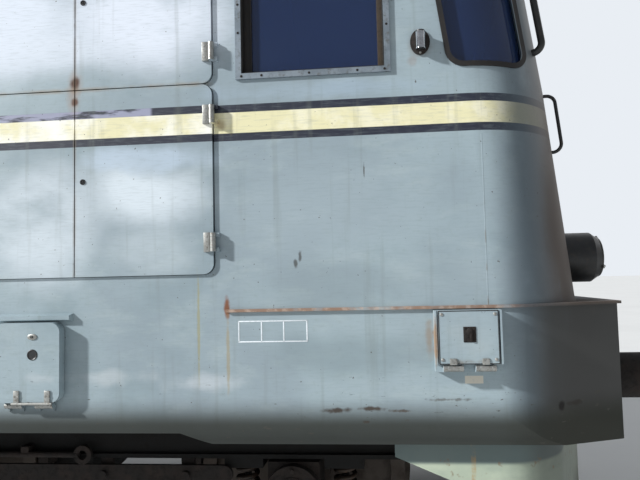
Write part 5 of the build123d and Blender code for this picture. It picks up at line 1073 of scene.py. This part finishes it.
@dataclass(frozen=True)
class Hinge:
    """Zinc-plated hinge: a barrel that turns with the leaf, an ear at each end of it, and the strap."""

    name: str
    pin: Point
    along: Along
    leaf: str
    strap_centre: Point
    strap_size: Point
    radius: float = 0.0128
    bore: float = 0.0066
    barrel: float = 0.0458
    ear: float = 0.018
    gap: float = 0.0003
    head: Profile = ((0.005, 0.0), (0.0045, 0.0012), (0.0, 0.002))

    def sleeve(self, offset: float, length: float) -> Piece:
        """Tube over one knuckle, its rims turned in onto the pin."""
        way = POINTING[self.along]
        centre = tuple(value + offset * part for value, part in zip(self.pin, way))
        half, r, rim = length / 2, self.radius, self.radius - 0.001
        outer = ((rim, -half), (r, 0.001 - half), (r, half - 0.001), (rim, half))
        return lathe(centre, ((self.bore, -half), *outer, (self.bore, half)), self.along, sides=28)

    def strap(self) -> Piece:
        """Folded strap with two rivets through it."""
        x, y, z = self.strap_centre
        outward = y - self.strap_size[1] / 2
        upright = self.along is Along.Z
        reach = 0.3 * self.strap_size[2 if upright else 0]
        offsets = ((0.0, -reach), (0.0, reach)) if upright else ((-reach, 0.004), (reach, 0.004))
        rivets = [lathe((x + dx, outward, z + dz), self.head, Along.Y, sides=12) for dx, dz in offsets]
        return joined([plate(self.strap_centre, self.strap_size, 0.0022), *rivets])

    def moving(self) -> Piece:
        """What turns with the leaf."""
        return joined([self.strap(), self.sleeve(0.0, self.barrel)])

    def fixed(self) -> Piece:
        """The two ears' sleeves, which stay with the body."""
        offset = self.barrel / 2 + self.gap + self.ear / 2
        return joined([self.sleeve(side * offset, self.ear) for side in (-1, 1)])


@dataclass(frozen=True)
class HingeRow:
    """Level row of hinges under a flap or a lid.

    The strap is its middle's X from the pin's, its middle's Y and its middle's Z.
    """

    name: str
    leaf: str
    pins_x: tuple[float, ...]
    pin_y: float
    pin_z: float
    strap: Point
    strap_size: Point

    def hinges(self) -> list[Hinge]:
        """The row's hinges at cab A, each named for its place in millimetres."""
        dx, strap_y, strap_z = self.strap
        return [
            Hinge(
                f"{self.name}_{round(x * 1000)}", (x, self.pin_y, self.pin_z), Along.X, self.leaf,
                (x + dx, strap_y, strap_z), self.strap_size,
            )
            for x in self.pins_x
        ]


@dataclass(frozen=True)
class Hinges:
    """Every hinge that shows outside: eight on the hatch leaves, and two on each flap and socket lid."""

    pin_y: float = -1.526
    pins_x: tuple[tuple[str, float, int], ...] = (("left", 4.7915, 1), ("right", 6.0705, -1))
    levels: tuple[tuple[str, float], ...] = (
        ("lower", 1.768), ("lower", 2.336), ("upper", 2.620), ("upper", 3.066),
    )
    strap_x: float = 0.028
    strap_size: Point = (0.028, 0.015, 0.086)
    rows: tuple[HingeRow, ...] = (
        HingeRow(
            "flap_hinge", "flap", (5.158, 5.300), -1.519, 1.066,
            strap=(0.030, -1.553, 1.108), strap_size=(0.026, 0.006, 0.058),
        ),
        HingeRow(
            "socket_hinge", "cover", (7.078, 7.208), -1.565, 1.220,
            strap=(0.0, -1.5755, 1.2485), strap_size=(0.030, 0.005, 0.026),
        ),
    )
    bar: tuple[Point, ...] = ((5.166, -1.553, 1.080), (5.352, -1.553, 1.080))

    def on_leaves(self) -> list[Hinge]:
        """The hatch leaves' hinges."""
        return [
            Hinge(
                f"leaf_{row}_{column}_{round(z * 1000)}", (x, self.pin_y, z), Along.Z, f"leaf_{row}_{column}",
                (x + way * self.strap_x, FACE_Y - self.strap_size[1] / 2, z), self.strap_size,
            )
            for column, x, way in self.pins_x
            for row, z in self.levels
        ]

    def build(self, shop: Workshop) -> None:
        """Make each hinge, those on flaps and lids at both ends."""
        metal = ("zinc_plate", "bare_iron")
        for hinge in self.on_leaves():
            shop.fit(hinge.moving(), f"{hinge.name}_strap", hinge.leaf, *metal)
            shop.fit(hinge.fixed(), f"{hinge.name}_ears", "body", *metal)
        for row in self.rows:
            for hinge in row.hinges():
                bodies = (f"{row.leaf}_near", f"{row.leaf}_far")
                shop.fit_ends(hinge.moving(), f"{hinge.name}_strap", *metal, bodies)
                shop.fit_ends(hinge.fixed(), f"{hinge.name}_ears", *metal)
        shop.fit_ends(rod(self.bar, 0.006), "flap_hinge_bar", *metal, ("flap_near", "flap_far"))


@dataclass(frozen=True)
class SandFlapLock:
    """Oval lock and dark pull hole of the sand filler's flap."""

    x: float = 5.259
    face_y: float = -1.550
    lock_z: float = 1.370
    hole_z: float = 1.292
    escutcheon: Profile = (
        (1.0, 0.0), (0.97, 0.003), (0.8, 0.0045), (0.45, 0.0045), (0.4, 0.0015), (0.0, 0.0015),
    )
    cup: Profile = (
        (0.024, 0.0), (0.0235, 0.002), (0.021, 0.003), (0.019, 0.002), (0.017, 0.0006), (0.0, 0.0006),
    )

    def build(self, shop: Workshop) -> None:
        """Dress the flap at both ends with an oval escutcheon, its key pin and a finger cup."""
        bodies = ("flap_near", "flap_far")
        lock = oval((self.x, self.face_y, self.lock_z), self.escutcheon, 0.0225, 0.0135)
        shop.fit_ends(lock, "sand_flap_lock", "zinc_plate", "bare_iron", bodies)
        place = (self.x, self.face_y - 0.003, self.lock_z)
        pin = drum(place, 0.0055, 0.004, Along.Y, sides=3, edge=0.0006)
        shop.fit_ends(pin, "sand_flap_pin", "black_enamel", "bare_iron", bodies)
        cup = lathe((self.x, self.face_y, self.hole_z), self.cup, Along.Y)
        shop.fit_ends(cup, "sand_flap_pull", "black_enamel", "bare_iron", bodies)


@dataclass(frozen=True)
class EmptyPanel:
    """Blank white frame of three cells, stencilled on the skirt as one thin film of paint."""

    lines_x: tuple[float, ...] = (6.174, 6.274, 6.371, 6.472)
    low_z: float = 1.332
    high_z: float = 1.420
    line: float = 0.005
    film: float = 0.0008
    face_y: float = -1.5

    def build(self, shop: Workshop) -> None:
        """Make the frame on the near side."""
        start, end = self.lines_x[0], self.lines_x[-1]
        y, edge = self.face_y - self.film / 2, self.film / 4
        level = (end - start + self.line, self.film, self.line)
        upright = (self.line, self.film, self.high_z - self.low_z)
        parts = [plate(((start + end) / 2, y, z), level, edge) for z in (self.low_z, self.high_z)]
        parts += [plate((x, y, (self.low_z + self.high_z) / 2), upright, edge) for x in self.lines_x]
        shop.fit(joined(parts), "empty_panel", "body", "stencil_paint", "grey_paint")


@dataclass(frozen=True)
class BogieSprings:
    """Coil springs between the axlebox wings and the bogie frame."""

    wire: float = 0.012
    coil: float = 0.048
    low_z: float = 0.464
    high_z: float = 0.686
    turns: int = 5
    steps: int = 22
    offset_x: float = 0.245
    beam_y: float = 1.05
    cup: Profile = ((0.022, 0.012), (0.018, 0.055), (0.0, 0.058))

    def spring(self) -> Piece:
        """One spring about the upright axis, wound from a ring of wire."""
        deselect()
        centre = (self.coil, 0.0, self.low_z + self.wire)
        bpy.ops.mesh.primitive_circle_add(vertices=10, radius=self.wire, fill_type="NOTHING", location=centre)
        piece = bpy.context.object
        bpy.ops.object.mode_set(mode="EDIT")
        bpy.ops.mesh.select_all(action="SELECT")
        bpy.ops.transform.rotate(value=math.pi / 2, orient_axis="X", center_override=centre)
        bpy.ops.object.mode_set(mode="OBJECT")
        bpy.ops.object.transform_apply()
        rise, steps = self.high_z - self.low_z - 2 * self.wire, self.steps * self.turns
        wind = {"angle": math.tau * self.turns, "screw_offset": rise, "axis": "Z"}
        return with_modifier(piece, "SCREW", **wind, steps=steps, render_steps=steps)

    def cups(self) -> Piece:
        """Cups below and above one spring."""
        r = self.coil + self.wire
        low = ((r, 0.0), (r, 0.008), (r - 0.02, 0.010), *self.cup)
        high = tuple((radius, -height) for radius, height in low)
        levels = ((self.low_z, low), (self.high_z, high))
        return joined([lathe((0.0, 0.0, z), profile, Along.Z) for z, profile in levels])

    def build(self, shop: Workshop) -> None:
        """Wind the twelve springs of each bogie and take the CAD springs' place."""
        offsets = [
            (axle + side_x * self.offset_x, side_y * self.beam_y)
            for axle in AXLES_X
            for side_x in (-1, 1)
            for side_y in (-1, 1)
        ]
        for first, name, finish in (
            (self.spring(), "coil_springs", "oiled_spring_steel"),
            (self.cups(), "spring_cups", "chassis_enamel"),
        ):
            for letter, pivot_x in PIVOTS_X.items():
                piece = repeated(first, moves(*((pivot_x + x, y, 0.0) for x, y in offsets)), keep=True)
                shop.fit(piece, f"{name}_{letter}", f"bogie_{letter}", finish, "spring_steel")
                if name == "coil_springs":
                    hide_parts(f"springs_{letter}")
            bpy.data.objects.remove(first)


@dataclass(frozen=True)
class BoltedCovers:
    """Hexagon bolts round the axlebox covers and on the buffers' foot plates."""

    cover_y: float = -1.198
    axle_z: float = 0.578
    circle: float = 0.112
    count: int = 6
    washer: float = 0.0028
    buffer_face: Point = (7.850, -0.875, 1.078)
    buffer_reach: float = 0.135
    cap: Profile = (
        (0.082, 0.0), (0.082, 0.004), (0.076, 0.007), (0.056, 0.007), (0.050, 0.004), (0.016, 0.004),
        (0.013, 0.012), (0.0, 0.014),
    )

    def bolt(self, size: float, along: Along) -> Piece:
        """Hexagon head on its washer, standing at the origin."""
        wide, thick = size * 1.35, self.washer
        washer = lathe(ORIGIN, ((wide, 0.0), (wide, 0.002), (size, thick), (0.0, thick)), along, sides=20)
        middle = tuple(value * (thick + size * 0.36) for value in POINTING[along])
        return joined([washer, drum(middle, size, size * 0.72, along, sides=6, edge=size * 0.12)])

    def cover(self) -> Piece:
        """Bolts, dished cap and grease nipple of one axlebox cover, about the axle's own line."""
        angles = [math.tau * (number + 0.5) / self.count for number in range(self.count)]
        places = [(self.circle * math.cos(angle), 0.0, self.circle * math.sin(angle)) for angle in angles]
        bolts = repeated(self.bolt(0.011, Along.Y), moves(*places))
        return joined([bolts, lathe(ORIGIN, self.cap, Along.Y, sides=40)])

    def build(self, shop: Workshop) -> None:
        """Bolt down all twelve axlebox covers and all four buffers."""
        first = self.cover()
        for letter, pivot_x in PIVOTS_X.items():
            places = moves(*((pivot_x + axle, self.cover_y, self.axle_z) for axle in AXLES_X))
            for side, way in (("near", Matrix.Identity(4)), ("far", MIRRORED)):
                row = repeated(first, [way @ place for place in places], keep=True)
                name = f"axlebox_bolts_{letter}_{side}"
                shop.fit(row, name, f"bogie_{letter}", "rusted_cast_iron", "bogie_paint")
        bpy.data.objects.remove(first)
        x, y, z = self.buffer_face
        offsets = (-self.buffer_reach, self.buffer_reach)
        places = [(x, y + dy, z + dz) for dy in offsets for dz in offsets]
        bolts = repeated(self.bolt(0.018, Along.X), moves(*places))
        shop.fit_corners(bolts, "buffer_bolts", "rusted_cast_iron", "bare_iron")


@dataclass(frozen=True)
class Wiper:
    """Windscreen wiper that hangs on a boss below its pane."""

    y: float = -0.62
    boss_z: float = 2.492
    blade_z: float = 2.80
    blade_length: float = 0.40
    pane_inset: float = 0.024
    boss: Profile = ((0.018, 0.0), (0.018, 0.012), (0.013, 0.020), (0.0, 0.022))

    def along_pane(self, clear: float, radius: float) -> Piece:
        """Bar as long as the blade, leaning with the pane and some way clear of it."""
        x = nose_x(self.y, self.blade_z) - self.pane_inset + clear
        half = self.blade_length / 2
        lean = math.tan(math.radians(SCREEN_LEAN)) * half
        low, high = (x + lean, self.y, self.blade_z - half), (x - lean, self.y, self.blade_z + half)
        return rod((low, high), radius)

    def build(self, shop: Workshop) -> None:
        """Make the boss, the arm and the blade, and fit them before all four panes."""
        boss_x = nose_x(self.y, self.boss_z)
        pane_x = nose_x(self.y, self.blade_z) - self.pane_inset
        boss = lathe((boss_x - 0.004, self.y, self.boss_z), self.boss, Along.X)
        bent = (
            (boss_x + 0.012, self.y, self.boss_z),
            (boss_x + 0.010, self.y, self.boss_z + 0.07),
            (pane_x + 0.022, self.y, self.blade_z),
        )
        arm = joined([boss, rod(bent, 0.004), self.along_pane(0.016, 0.004)])
        shop.fit_corners(arm, "wiper_arm", "black_enamel", "rail_steel")
        shop.fit_corners(self.along_pane(0.008, 0.0045), "wiper_blade", "window_rubber", "seal_rubber")


@dataclass(frozen=True)
class DoorFittings:
    """Lever handle and lock of the entrance doors, and the feet of their handrails."""

    lever: Point = (5.462, 1.5, 2.42)
    rails_x: tuple[float, ...] = (5.355, 6.085)
    feet_z: tuple[float, ...] = (1.628, 2.928)
    screws_x: tuple[float, ...] = (-0.027, 0.027)
    flange: Profile = ((0.034, 0.0), (0.034, 0.003), (0.022, 0.007), (0.017, 0.007), (0.0165, 0.0))
    head: Profile = ((0.005, 0.0), (0.004, 0.002), (0.0, 0.003))

    def handle(self) -> Piece:
        """Lever on a long plate, with a keyhole below it."""
        x, y, z = self.lever
        back = plate((x, y + 0.002, z - 0.03), (0.045, 0.004, 0.19), 0.0015)
        neck = drum((x, y + 0.014, z), 0.011, 0.028, Along.Y, sides=20)
        bent = ((x, y + 0.030, z), (x + 0.05, y + 0.032, z), (x + 0.135, y + 0.030, z - 0.006))
        lever = rod(bent, 0.008, smooth=True)
        lock = drum((x, y + 0.006, z - 0.085), 0.010, 0.006, Along.Y, sides=20)
        return joined([back, neck, lever, lock])

    def feet(self) -> Piece:
        """Round flanges where the handrails enter the wall, with two screws each."""
        flange = lathe(ORIGIN, self.flange, Along.Y)
        head = lathe((0.0, -0.0035, 0.0), self.head, Along.Y, sides=12)
        screws = [copied(head, move) for move in moves(*((x, 0.0, 0.0) for x in self.screws_x))]
        bpy.data.objects.remove(head)
        outward = Matrix.Translation((0.0, self.lever[1], 0.0)) @ MIRRORED
        places = moves(*((x, 0.0, z) for x in self.rails_x for z in self.feet_z))
        return repeated(joined([flange, *screws]), [place @ outward for place in places])

    def build(self, shop: Workshop) -> None:
        """Dress both entrance doors."""
        shop.fit_ends(self.handle(), "door_handle", "chrome_plate", "rail_steel", ("door_far", "door_near"))
        shop.fit_ends(self.feet(), "door_rail_feet", "black_enamel", "rail_steel")


@dataclass(frozen=True)
class RoofFittings:
    """Bolts along the roof hatches, and their lifting eyes."""

    lids_x: tuple[float, ...] = (-2.65, -0.10, 2.45)
    lid_length: float = 2.4
    crown_z: float = 1.8373
    crown_radius: float = 2.2967
    bolts: int = 9
    bolt_inset: float = 0.08
    bolt_y: float = 0.93
    eye_inset: float = 0.35
    eye_y: float = 0.60
    head: Profile = ((0.017, 0.0), (0.017, 0.003), (0.011, 0.004), (0.010, 0.011), (0.0, 0.012))

    def on_roof(self, x: float, y: float) -> Matrix:
        """Move that stands a piece upright on the lid's crown at a place."""
        tilt = math.asin(y / self.crown_radius)
        z = self.crown_z + self.crown_radius * math.cos(tilt)
        return Matrix.Translation((x, y, z)) @ Matrix.Rotation(-tilt, 4, "X")

    def eye(self) -> Piece:
        """Lifting eye on its foot, standing at the origin."""
        deselect()
        bpy.ops.mesh.primitive_torus_add(
            major_radius=0.032, minor_radius=0.008, major_segments=28, minor_segments=10,
            location=(0, 0, 0.034), rotation=(math.pi / 2, 0.0, 0.0),
        )
        ring = bpy.context.object
        bpy.ops.object.transform_apply()
        return joined([ring, plate((0.0, 0.0, 0.004), (0.09, 0.05, 0.008), 0.002)])

    def build(self, shop: Workshop) -> None:
        """Bolt each lid down and give it four eyes."""
        head, eye = lathe(ORIGIN, self.head, Along.Z, sides=14), self.eye()
        step = (self.lid_length - 2 * self.bolt_inset) / (self.bolts - 1)
        bolts_x = [self.bolt_inset + step * place for place in range(self.bolts)]
        eyes_x = (self.eye_inset, self.lid_length - self.eye_inset)
        for number, start in enumerate(self.lids_x, 1):
            parts = [
                copied(piece, self.on_roof(start + x, side * y))
                for piece, places, y in ((head, bolts_x, self.bolt_y), (eye, eyes_x, self.eye_y))
                for x in places
                for side in (-1, 1)
            ]
            shop.fit(joined(parts), f"roof_hatch_bolts_{number}", "body", "roof_enamel", "roof_paint")
        bpy.data.objects.remove(head)
        bpy.data.objects.remove(eye)


@dataclass(frozen=True)
class EngineRoomWindows:
    """Rubber seals round the engine room's windows, on both sides."""

    centres_x: tuple[float, ...] = (-1.9, -0.3, 1.3, 2.9)
    middle_z: float = 2.958
    width: float = 0.72
    height: float = 0.42
    corner: float = 0.06
    seal: float = 0.011
    face_y: float = -1.502

    def build(self, shop: Workshop) -> None:
        """Lay one seal round each window."""
        c, dx, dz = self.corner, self.width / 2 - self.corner, self.height / 2 - self.corner
        outline = []
        for side_x, side_z, start in ((1, 1, 0), (-1, 1, 90), (-1, -1, 180), (1, -1, 270)):
            for step in range(5):
                angle = math.radians(start + 22.5 * step)
                x, z = side_x * dx + c * math.cos(angle), side_z * dz + c * math.sin(angle)
                outline.append((x, self.face_y, z + self.middle_z))
        first = rod(tuple(outline), self.seal, closed=True)
        near = repeated(first, moves(*((x, 0.0, 0.0) for x in self.centres_x)))
        far = copied(near, MIRRORED)
        shop.fit(near, "engine_window_seals_near", "body", "window_rubber", "seal_rubber")
        shop.fit(far, "engine_window_seals_far", "body", "window_rubber", "seal_rubber")


# The finish of each CAD node by how its name starts, of which the first that fits holds
NODE_FINISHES = (
    ("cast_aluminium", ("roof_fan",)),
    ("roof_enamel", ("roof", "fan_ducts")),
    ("coach_enamel", ("end_skirts", "cab_shell", "side_wall", "louvres", "hatch_leaf")),
    ("coach_enamel", ("entrance_door", "sand_flap", "socket_cover")),
    ("chassis_enamel", ("underframe", "fuel_tank", "steps", "bogie_frame", "traction_motors")),
    ("rusted_cast_iron", ("buffers", "couplings", "exhaust", "axleboxes", "brake_gear")),
    ("rolled_wheel_steel", ("wheelset",)),
    ("oiled_spring_steel", ("springs",)),
    ("plough_enamel", ("ploughs",)),
    ("tinted_glass", ("windscreens", "side_glass", "door_pane")),
    ("extruded_aluminium", ("window_frames",)),
    ("window_rubber", ("window_rubbers",)),
    ("black_enamel", ("lamps", "handrails", "horns")),
    ("lining_enamel", ("bulkheads", "control_desks")),
    ("leathercloth", ("seats",)),
    ("engine_enamel", ("engine_block",)),
)


def paint_nodes(frame: dict, shop: Workshop) -> None:
    """Give each CAD node its finish.

    Args:
        shop: The workshop with the finishes.
    """
    for name, node in frame["nodes"].items():
        finish = next((finish for finish, starts in NODE_FINISHES if name.startswith(starts)), None)
        if finish is None:
            LOG.warning("no finish for %s", name)
            continue
        if not node.material_slots:
            node.data.materials.append(shop.finishes[finish])
        for entry in node.material_slots:
            entry.material = shop.finishes[finish]


@dataclass(frozen=True)
class Studio:
    """Pale floor, soft lamps and the camera that stands as in the photograph."""

    camera_place: Point = (6.783, -4.080, 1.602)
    yaw: float = math.radians(5.45)
    pitch: float = math.radians(3.6)
    roll: float = math.radians(-1.3)
    lens: float = 33.75
    floor_size: float = 400.0
    # Each sun's name, ray, strength and angle in degrees: a key from the upper left, a fill from behind
    suns: tuple[tuple[str, Point, float, float], ...] = (
        ("key", (0.815, 0.37, -0.445), 4.9, 3.0),
        ("fill", (-0.7, -0.6, -0.45), 0.6, 60.0),
    )

    def floor(self) -> None:
        """Lay the pale floor."""
        deselect()
        bpy.ops.mesh.primitive_plane_add(size=self.floor_size, location=(0, 0, -MM))
        floor = bpy.context.object
        floor.name = "floor"
        coat = Coat("pale_floor", "#DCDDDC", 0.9)
        coat.cover("#D3D4D3", 0.5, coat.cloud(2500, 0.4, 0.7))
        floor.data.materials.append(coat.finished())

    def lamps(self) -> None:
        """Hang the two suns."""
        for name, ray, strength, angle in self.suns:
            light = bpy.data.lights.new(name, "SUN")
            light.energy = strength
            light.angle = math.radians(angle)
            lamp = bpy.data.objects.new(name, light)
            lamp.rotation_mode = "QUATERNION"
            lamp.rotation_quaternion = Vector(ray).to_track_quat("-Z", "Y")
            bpy.context.scene.collection.objects.link(lamp)

    def world(self) -> None:
        """Give weak light from all round, and show a pale background to the camera."""
        world = bpy.data.worlds.new("pale_world")
        bpy.context.scene.world = world
        world.use_nodes = True
        tree = world.node_tree
        tree.nodes.clear()
        seen = add_node(tree, "LightPath").outputs["Is Camera Ray"]
        light = add_node(tree, "Background", {0: linear("#E6EBF2"), 1: 0.4})
        shown = add_node(tree, "Background", {0: linear("#E9EEF4"), 1: 1.0})
        mixed = add_node(tree, "MixShader", {0: seen, 1: light.outputs[0], 2: shown.outputs[0]})
        add_node(tree, "OutputWorld", {0: mixed.outputs[0]})

    def camera(self) -> None:
        """Stand the camera where the photograph was taken from."""
        data = bpy.data.cameras.new("camera")
        data.lens = self.lens
        data.sensor_width = 36.0
        data.clip_end = 1000.0
        camera = bpy.data.objects.new("camera", data)
        level = math.cos(self.pitch)
        ahead = Vector((-math.sin(self.yaw) * level, math.cos(self.yaw) * level, math.sin(self.pitch)))
        upright = ahead.to_track_quat("-Z", "Y").to_matrix().to_4x4()
        place, roll = Matrix.Translation(self.camera_place), Matrix.Rotation(self.roll, 4, "Z")
        camera.matrix_world = place @ upright @ roll
        bpy.context.scene.collection.objects.link(camera)
        bpy.context.scene.camera = camera

    def build(self) -> None:
        """Set up the whole studio."""
        bpy.context.scene.view_settings.view_transform = "Standard"
        self.floor()
        self.lamps()
        self.world()
        self.camera()


# Every fitting that is modelled here, in the order of its making
FITTINGS = (
    KeyLocks(),
    CabWindow(),
    MarkerLamp(),
    Headlamp("headlamp", (7.868, -0.950, 1.675), 0.1),
    Headlamp("top_lamp", (7.5773, 0.0, 3.588), 0.105),
    SocketLid(),
    Hinges(),
    SandFlapLock(),
    EmptyPanel(),
    BogieSprings(),
    BoltedCovers(),
    Wiper(),
    DoorFittings(),
    RoofFittings(),
    EngineRoomWindows(),
)


def main() -> None:
    """Load the frame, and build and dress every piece."""
    logging.basicConfig(level=logging.INFO, format="%(name)s: %(message)s")
    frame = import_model()
    Studio().build()
    shop = Workshop()
    paint_nodes(frame, shop)
    for fitting in FITTINGS:
        fitting.build(shop)
    LOG.info("%d pieces made", shop.count)


if __name__ == "__main__":
    main()
